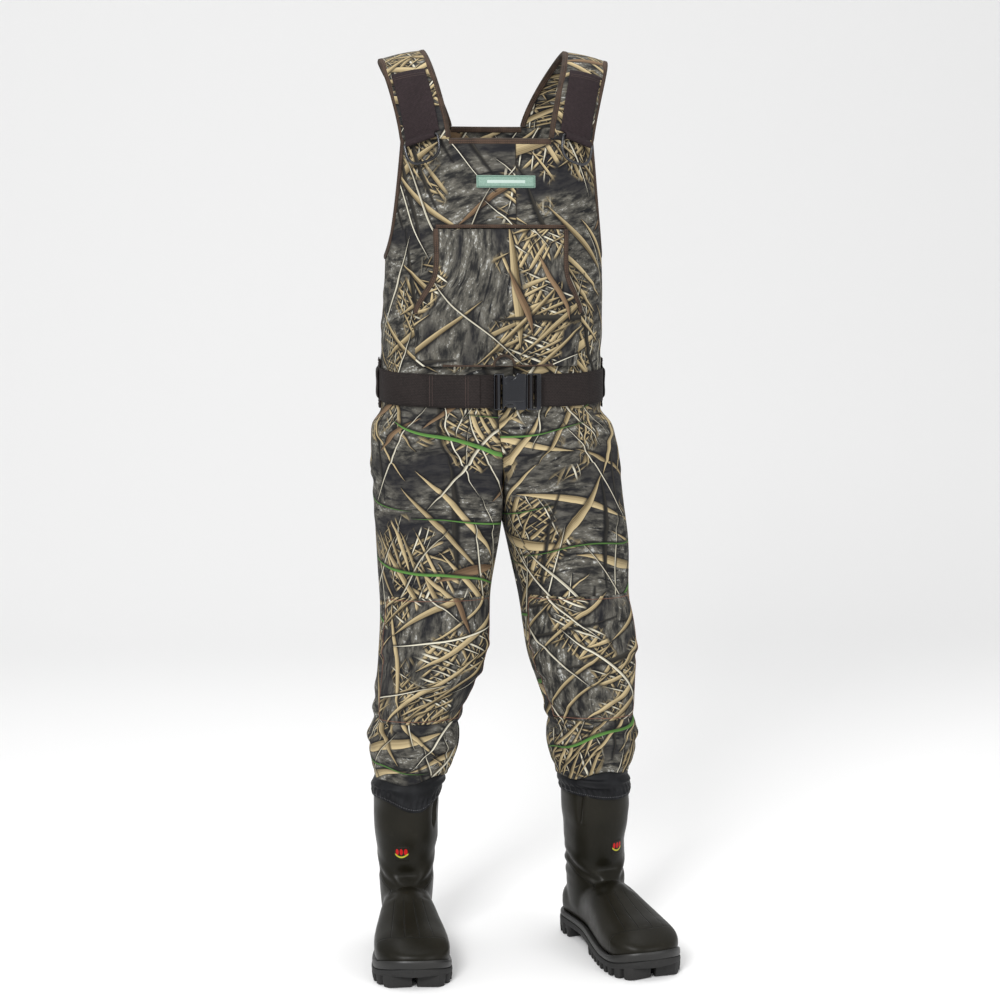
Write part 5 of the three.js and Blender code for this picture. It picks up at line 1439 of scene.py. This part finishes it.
def boot_finish():
    """Rubber with moulded lines. UV map 'cloth' is the place from above, 'rise' the height and way round."""
    f = Finish("olive_boot_rubber", Specular_IOR_Level=0.13)
    p = f.place()
    big, fine = f.noise(p, 11.0, 3.0), f.noise(p, 480.0, 3.0)
    scuff = f.noise(p, 70.0, 5.0, Roughness=0.7)
    x, s, _ = f.split(f.cloth_uv())
    made = f.tree.nodes.new("ShaderNodeUVMap")
    made.uv_map = "rise"
    turn, z, _ = f.split(Sock(f.tree, made.outputs[0]))
    on_foot = s.ramp(0.094, 0.104) * z.ramp(0.034, 0.040)
    squeeze = s.ramp(0.09, 0.21, 0.62, 1.0, kind="LINEAR")
    lines = 0.0
    for at in (-0.036, -0.013, 0.012, 0.035):
        lines = abs(x - squeeze * at).ramp(0.0011, 0.0004) + lines
    cap = s + x * x * 4.2 - 0.209
    lines = lines * cap.less(0.0) * on_foot + abs(cap).ramp(0.0011, 0.0004) * z.ramp(0.036, 0.040)
    heel = abs(s + 0.034 + z * 0.12).ramp(0.0011, 0.0004) * z.less(0.108)
    ankle = abs(z - 0.100 - abs(s - 0.075) * 0.42).ramp(0.0012, 0.0004) * s.ramp(-0.028,
        -0.02) * s.ramp(0.07, 0.06)
    moulded_groove_shade = (lines + heel + ankle).least(1.0)
    colour = f.mix(big.ramp(0.3, 0.7), rgb(0.0072, 0.0066, 0.0042), rgb(0.0118, 0.0105, 0.0070))
    colour = f.mix(scuff.ramp(0.55, 0.75, 0.0, 0.45), colour, rgb(0.019, 0.017, 0.012))
    # painted shade: the moulded grooves are also darkened in the colour, on top of the bump that presses them
    # in
    colour = f.mix(moulded_groove_shade * 0.6, colour, rgb(0.004, 0.004, 0.003))
    f.set("Base Color", colour)
    f.set("Roughness", (big * 0.5 + scuff * 0.5).ramp(0.3, 0.7, 0.30, 0.46))
    f.bump(moulded_groove_shade * -1.0 + fine * 0.07 + scuff * 0.06, 0.0011, 0.8)
    return f.material


BOOT_RUBBER = boot_finish()


def upper(name, side):
    around, rows = 64, 70
    a = np.linspace(0, 2 * pi, around, endpoint=False)
    foot = []
    for share in np.linspace(0, 1, rows):
        s = station(share)
        base, top = float(sole_top(s)) + 0.0003, float(foot_high(s))
        w = float(foot_width(s))
        tall = (top - base) / 2 * lerp(0.45, 1, (w / float(foot_half(s))) ** 0.8)
        foot.append(np.stack([float(foot_bend(s, side)) + w * power(np.cos(a),
            np.where(np.sin(a) < 0, 0.42, 0.86)), np.full(around, -s),
            base + tall + tall * power(np.sin(a), np.where(np.sin(a) < 0, 0.62, 0.82))], -1))
    boot = loft(name + "_boot_upper", foot)
    tall_rows = np.linspace(0.058, BOOT_H + 0.002, 60)
    leg = loft(name + "_boot_leg", np.array([shaft_point(a, z) for z in tall_rows]))
    boot = joined(boot, leg)
    apply(boot, "REMESH", mode="VOXEL", voxel_size=0.0027, use_smooth_shade=True)
    apply(boot, "SMOOTH", factor=0.5, iterations=14)
    p = coords(boot)
    x, s, z = side * p[:, 0], -p[:, 1], p[:, 2]
    normal = np.empty(len(p) * 3)
    boot.data.vertices.foreach_get("normal", normal)
    normal = normal.reshape(-1, 3)
    q = np.stack([x, s, z], -1)
    out = -0.0085 * bump_at(q, (0.0, 0.064, 0.134), (0.030, 0.03, 0.011)) + 0.0062 * bump_at(q,
        (0, 0.088, 0.112), (0.024, 0.022, 0.012))
    # creases that run from the ankle's bulge round both sides
    for way in (-1, 1):
        line = 0.106 + 0.40 * np.clip(0.085 - s, 0, 0.12) - z
        near = smooth(0.010, 0.03, way * x) * smooth(-0.03, 0.01, s) * (1 - smooth(0.085, 0.10, s))
        out += near * (-0.0032 * np.exp(-((line / 0.006) ** 2)) + 0.0020
            * np.exp(-(((line + 0.013) / 0.009) ** 2)))
    rng = np.random.default_rng(31 + side)
    for _ in range(26):
        t, height = rng.uniform(-pi, pi), rng.uniform(0.135, 0.25)
        at = (0.055 * math.sin(t), 0.062 * math.cos(t), height)
        size = (0.030, 0.030, rng.uniform(0.012, 0.034))
        out += rng.choice([-1.0, 0.8]) * rng.uniform(0.0012, 0.0030) * bump_at(q, at, size)
    round_ = np.arctan2(p[:, 0], s)
    crease_at = -0.85 if side > 0 else 0.95
    away = (round_ - crease_at - (z - 0.235) * 2.0) * 0.055
    out += smooth(0.205, 0.222, z) * (-0.0045 * np.exp(-((away / 0.0035) ** 2)) + 0.0020
        * np.exp(-(((away - 0.009) / 0.006) ** 2)))
    # back of the ankle
    out += smooth(0.02, -0.02, s) * 0.0018 * np.sin((z - 0.11) * 2 * pi / 0.022) * np.exp(
        -(((z - 0.135) / 0.022) ** 2))
    out += 0.0011 * bump_at(q, (-0.004, 0.204, 0.074), (0.0022, 0.0022, 0.01))
    out *= smooth(0.034, 0.05, z)
    p = p + normal * out[:, None]
    set_coords(boot, p)
    bm = bmesh.new()
    bm.from_mesh(boot.data)
    top = [f for f in bm.faces if f.calc_center_median().z > BOOT_H - 0.003 and f.normal.z > 0.6]
    bmesh.ops.delete(bm, geom=top, context="FACES")
    loose = [v for v in bm.verts if not v.link_faces]
    bmesh.ops.delete(bm, geom=loose, context="VERTS")
    bm.to_mesh(boot.data)
    bm.free()
    p = coords(boot)
    for layer_name, pair in (("cloth", (p[:, 0] - foot_bend(-p[:, 1], side), -p[:, 1])),
        ("rise", (np.arctan2(p[:, 0], -p[:, 1]), p[:, 2]))):
        layer = boot.data.uv_layers.get(layer_name) or boot.data.uv_layers.new(name=layer_name)
        index = np.empty(len(boot.data.loops), int)
        boot.data.loops.foreach_get("vertex_index", index)
        layer.data.foreach_set("uv", np.stack(pair, -1)[index].reshape(-1))
    apply(boot, "SOLIDIFY", thickness=0.004, offset=-1.0, material_offset=1, material_offset_rim=0)
    set_coords(boot, boot_place(name, side, coords(boot)))
    smooth_faces(boot)
    boot.data.materials.clear()
    return finish_piece(boot, "waders", "boot_rubber", name + "_boot_foot", name + "_boot_shaft",
        materials=(BOOT_RUBBER, LINING))


def foxing(name, side):
    """The rubber strip round the foot over the sole, taller and thicker as a bumper at the toe."""
    count = 150
    share = np.linspace(0, 2, count, endpoint=False)
    outer = share < 1
    half_share = np.where(outer, share, 2 - share)
    rings = []
    for out, up in ((-0.004, 0.0), (0.0020, 0.0004), (0.0030, 0.0018), (0.0030, 0.0062), (0.0024, 0.0082),
        (0.0012, 0.0092), (-0.004, 0.0088)):
        s = station(half_share, out)
        inside = np.clip(s, -HEEL, TOE)
        tall = lerp(1.0, 1.6, smooth(0.18, 0.24, inside))
        w = foot_width(s, out)
        lip = 0.0012 * smooth(0.19, 0.24, inside)
        x = foot_bend(inside, side) + np.where(outer, 1, -1) * w
        rings.append(np.stack([x, -s - lip, sole_top(inside) + up * tall], -1))
    rings = np.transpose(np.array(rings), (1, 0, 2))
    strip = loft(name + "_foxing_strip", boot_place(name, side, rings), closed=True)
    smooth_faces(strip, 50)
    return finish_piece(strip, "waders", "boot_rubber", name + "_foot_foxing", materials=(FOXING,))


def sole_section(s, out, low_z, high_z, side, count=28, e=0.35):
    a = np.linspace(0, 2 * pi, count, endpoint=False)
    w = float(foot_width(s, out))
    mid, tall = (low_z + high_z) / 2, (high_z - low_z) / 2
    return np.stack([float(foot_bend(np.clip(s, -HEEL, TOE), side)) + w * power(np.cos(a), e),
        np.full(count, -s), mid + tall * power(np.sin(a), e)], -1)


def outsole(name, side):
    rim = 0.004
    rings = []
    for share in np.linspace(0, 1, 70):
        s = float(station(share, rim))
        z = float(sole_top(np.clip(s, -HEEL, TOE)))
        rings.append(sole_section(s, rim, z - 0.012, z + 0.0008, side))
    slab = loft(name + "_sole_slab", np.array(rings))
    core = loft(name + "_heel_block", np.array([
        sole_section(s, 0.0025, 0.009, float(sole_top(np.clip(s, -HEEL, TOE))) - 0.006, side)
            for s in np.linspace(-HEEL - 0.0015, -0.004, 24)
    ]))
    pieces = [core]
    bars = [-HEEL - 0.003 + k * 0.0187 for k in range(4)] + [0.086 + k * 0.018 for k in range(9)]
    for number, s0 in enumerate(bars):
        s1 = s0 + 0.0115
        for way in (-1, 1):
            ring = []
            for t in np.linspace(0, 1, 5):
                s = lerp(max(s0, -HEEL - 0.0034), s1, t)
                high_z = float(sole_top(np.clip(s, -HEEL, TOE))) - 0.008
                w = float(foot_width(s, rim)) - 0.0004
                mid = float(foot_bend(np.clip(s, -HEEL, TOE), side))
                inner = min(0.004, w * 0.5)
                skew = 0.003 * (1 if s0 > 0 else 0)
                lean = 0.0012
                pinch = 0.0010 * abs(2 * t - 1) ** 6
                ring.append([
                    (mid + way * (inner + pinch), -s + skew, pinch),
                    (mid + way * (w - lean - pinch), -s, pinch),
                    (mid + way * (w - pinch), -s, high_z * 0.6),
                    (mid + way * (w - pinch), -s, high_z + 0.002),
                    (mid + way * (inner + pinch), -s + skew, high_z + 0.002),
                ])
            pieces.append(loft(name + "_lug", np.array(ring)))
    sole = joined(slab, *pieces)
    apply(sole, "BEVEL", width=0.0006, segments=2, limit_method="ANGLE", angle_limit=math.radians(40))
    set_coords(sole, boot_place(name, side, coords(sole)))
    smooth_faces(sole, 35)
    return finish_piece(sole, "waders", "sole_rubber", name + "_outsole", materials=(SOLE,))


def ledge(name, side):
    profile = [(0.003, 0.057), (0.0095, 0.0585), (0.0112, 0.0610), (0.0108, 0.0645), (0.0080, 0.0680),
        (0.0030, 0.0725), (-0.004, 0.072), (-0.004, 0.057)]
    rings = []
    for t in np.linspace(-1, 1, 17):
        fade = (1 - abs(t) ** 3)
        rings.append([(t * 0.0175, HEEL + 0.001 + lerp(-0.002, y, fade) - 0.0045 * t * t,
            lerp(0.0645, z, 0.4 + 0.6 * fade)) for y, z in profile])
    obj = loft(name + "_heel_kick", boot_place(name, side, np.array(rings)))
    apply(obj, "SUBSURF", levels=1, render_levels=1)
    smooth_faces(obj)
    return finish_piece(obj, "waders", "boot_rubber", name + "_heel_ledge", materials=(FOXING,))


def badge_finish():
    """Three plain red marks over a yellow arc, printed on the boot's own rubber."""
    f = Finish("boot_badge_print", rough=0.4, Specular_IOR_Level=0.13)
    x, z, _ = f.split(f.cloth_uv())
    p = f.place()
    big = f.noise(p, 11.0, 3.0)
    colour = f.mix(big.ramp(0.3, 0.7), rgb(0.0072, 0.0066, 0.0042), rgb(0.0118, 0.0105, 0.0070))
    red = 0.0
    for at in (-0.0078, 0.0, 0.0078):
        across, up = (x - at) / 0.0029, (z - 0.0030) / 0.0052
        red = (across * across + up * up).ramp(1.15, 0.85) + red
    arc = abs(z + 0.0056 - x * x * 36.0).ramp(0.0017, 0.0009) * abs(x).ramp(0.0130, 0.0110)
    colour = f.mix(red.least(1.0), colour, rgb(0.38, 0.008, 0.008))
    colour = f.mix(arc, colour, rgb(0.36, 0.34, 0.03))
    f.set("Base Color", colour)
    f.bump(f.noise(p, 480.0, 3.0), 0.0001, 0.4)
    return f.material


FOXING = grained("dark_foxing_rubber", rgb(0.0036, 0.0036, 0.0032), rgb(0.0075, 0.0070, 0.0058), 0.45,
    420.0, 0.0002, 0.08)
BADGE = badge_finish()


def badge(name, side, boot):
    phi = lambda u: (2 * u - 1) * 0.24 + side * 0.30 + (0.0 if side > 0 else 0.12)
    obj = cloth_piece(name + "_badge_print", 24, 18,
        lambda u, v: boot_place(name, side, shaft_point(phi(u), lerp(0.157, 0.181, v), 0.002)),
                      lambda u, v: ((2 * u - 1) * 0.0135, (v - 0.5) * 0.024), facing=(0, -1, 0))
    apply(obj, "SHRINKWRAP", target=boot, wrap_method="NEAREST_SURFACEPOINT", wrap_mode="OUTSIDE_SURFACE",
        offset=0.0001)
    apply(obj, "SOLIDIFY", thickness=0.0002, offset=1.0)
    finish_piece(obj, "waders", "badge_print", name + "_boot_badge", materials=(BADGE,))


def cuff_finish():
    f = Finish("black_cuff_nylon", rough=0.55, Specular_IOR_Level=0.14)
    x, y, _ = f.split(f.cloth_uv())
    p = f.place()
    n, fine = f.noise(p, 40.0, 3.0), f.noise(p, 1200.0, 2.0)
    colour = f.mix(n.ramp(0.3, 0.7), rgb(0.0032, 0.0034, 0.0042), rgb(0.0095, 0.0100, 0.0115))
    dash = abs(y - 0.0045).ramp(0.0006, 0.0003) * (x * 260.0).fract().ramp(0.38, 0.46)
    f.set("Base Color", f.mix(dash * 0.6, colour, rgb(0.14, 0.14, 0.15)))
    f.bump((x * 5200.0).sin() * 0.15 + fine * 0.4 + dash, 0.0003, 0.6)
    return f.material


CUFF = cuff_finish()


def cuff(name, side):
    """Gathered nylon over the welded joint of boot and leg."""
    rng = np.random.default_rng(51 + side)
    rolls = [(rng.uniform(-pi, pi), rng.uniform(0.7, 1.5), rng.uniform(0.15, 0.8), rng.uniform(-0.16, 0.16),
        rng.uniform(0.0014, 0.0030)) for _ in range(18)]

    def low_edge(phi):
        wrapped = (phi + pi) % (2 * pi) - pi
        dip = 0.022 * np.exp(-(((wrapped - 0.25) / 0.62) ** 2)) if side < 0 else 0.008 * np.exp(
            -(((wrapped - 0.2) / 0.9) ** 2))
        return BOOT_H + 0.004 - dip - 0.004

    def place(u, v):
        phi = 2 * pi * u
        wrapped = (phi + pi) % (2 * pi) - pi
        z0 = low_edge(phi)
        low_ring = boot_place(name, side, shaft_point(phi, z0, 0.0))
        high_ring = on_leg(side, phi, np.full_like(phi, CUFF_TOP + 0.010), -0.004)
        centre_xy = boot_place(name, side, np.array([0, 0, 0.0]))[:2]
        t = smooth(0, 1, v)
        p = lerp(low_ring, high_ring, t[:, None])
        p[:, 2] = lerp(z0, CUFF_TOP + 0.010, v)
        ray = p[:, :2] - centre_xy
        ray = unit(ray)
        swell = 0.0021 * (1 - v) + 0.0014 * np.sin(pi * np.clip(v, 0, 1)) ** 0.8
        hem_roll = 0.0005 * np.exp(-(((v - 0.10) / 0.05) ** 2))
        gathers = 0.0007 * np.sin(34 * phi + 3 * np.sin(2 * phi)) * (1 - smooth(0.1, 0.55, v)) * smooth(0.0,
            0.08, v)
        rolled = np.zeros_like(phi)
        for at, wide, high_at, slope, deep in rolls:
            d = (wrapped - at + pi) % (2 * pi) - pi
            rolled += deep * np.exp(-((d / wide) ** 2)) * np.exp(
                -(((v - high_at - slope * d) / 0.075) ** 2)) - 0.6 * deep * np.exp(
                -((d / wide) ** 2)) * np.exp(-(((v - high_at - slope * d - 0.14) / 0.06) ** 2))
        rolled *= 0.65 * np.sin(pi * np.clip(v, 0, 1)) ** 0.5
        p[:, :2] += ray * (swell + gathers + rolled + hem_roll)[:, None]
        p[:, 2] += -0.4 * rolled
        return p

    obj = cloth_piece(name + "_cuff_nylon", 300, 60, place, lambda u, v: (u * 0.40, v * 0.06), tube=True)
    outward(obj)
    apply(obj, "SOLIDIFY", thickness=0.001, offset=-1.0)
    smooth_faces(obj)
    return finish_piece(obj, "waders", "black_cloth", name + "_cuff", materials=(CUFF,))


for side_name, side in GROUND_SIDES.items():
    boot = upper(side_name, side)
    foxing(side_name, side)
    outsole(side_name, side)
    ledge(side_name, side)
    badge(side_name, side, boot)
    cuff(side_name, side)
    paint_node(side_name + "_insole", FOOTBED)


# ------------------------------------------------------------------ stage
FLOOR_HALF_WIDTH = 9.0
FLOOR_FRONT = 6.0
FLOOR_FLAT = 9.0
FLOOR_RUN = 14.0
FLOOR_BEND = 2.5
FLOOR_GAP = 0.0006
SKY_STRENGTH = 0.74
CAMERA_LENS = 77.1


def stage():
    clear_selection()
    bpy.ops.mesh.primitive_grid_add(x_subdivisions=2, y_subdivisions=60, size=2)
    floor = bpy.context.object
    floor.name = "floor"
    n = len(floor.data.vertices)
    co = np.empty(n * 3)
    floor.data.vertices.foreach_get("co", co)
    co = co.reshape(-1, 3)
    x, t = co[:, 0] * FLOOR_HALF_WIDTH, (co[:, 1] + 1) / 2 * FLOOR_RUN
    bend = np.clip(t - FLOOR_FLAT, 0, FLOOR_BEND * pi / 2) / FLOOR_BEND
    y = np.where(t < FLOOR_FLAT, t - FLOOR_FRONT, FLOOR_FLAT - FLOOR_FRONT + FLOOR_BEND * np.sin(bend))
    z = np.where(t < FLOOR_FLAT, 0.0, FLOOR_BEND * (1 - np.cos(bend)))
    floor.data.vertices.foreach_set("co", np.stack([x, y, z - FLOOR_GAP], -1).reshape(-1))
    smooth_faces(floor)
    f = Finish("pale_floor", rough=0.7)
    f.set("Base Color", rgb(0.86, 0.86, 0.86))
    floor.data.materials.append(f.material)


def area(name, where, at, size, watts):
    data = bpy.data.lights.new(name, "AREA")
    data.shape = "SQUARE"
    data.size = size
    data.energy = watts
    light = bpy.data.objects.new(name, data)
    bpy.context.collection.objects.link(light)
    light.location = where
    light.rotation_euler = (Vector(at) - Vector(where)).to_track_quat("-Z", "Y").to_euler()


def lights_and_camera():
    scene = bpy.context.scene
    scene.view_settings.view_transform = "Standard"
    world = bpy.data.worlds.new("studio")
    scene.world = world
    world.use_nodes = True
    world.node_tree.nodes["Background"].inputs["Color"].default_value = rgb(1.0, 1.0, 1.0)
    world.node_tree.nodes["Background"].inputs["Strength"].default_value = SKY_STRENGTH
    area("key", (-1.6, -3.4, 2.9), (0, 0, 0.9), 1.3, 150)
    area("fill", (2.4, -3.0, 1.8), (0, 0, 0.8), 2.0, 40)
    area("top", (0, 0.6, 3.6), (0, 0, 0.8), 2.0, 40)
    turn, distance, camera_z, pitch = math.radians(-6), 3.6, 1.136, math.radians(6)
    data = bpy.data.cameras.new("camera")
    data.sensor_width = 36.0
    data.lens = CAMERA_LENS
    camera = bpy.data.objects.new("camera", data)
    bpy.context.collection.objects.link(camera)
    aim = Vector((SHIFT[0], SHIFT[1], camera_z - distance * math.tan(pitch)))
    camera.location = Vector((SHIFT[0] + distance * math.sin(turn), SHIFT[1] - distance * math.cos(turn),
        camera_z))
    camera.rotation_euler = (aim - camera.location).to_track_quat("-Z", "Y").to_euler()
    scene.camera = camera


stage()
lights_and_camera()
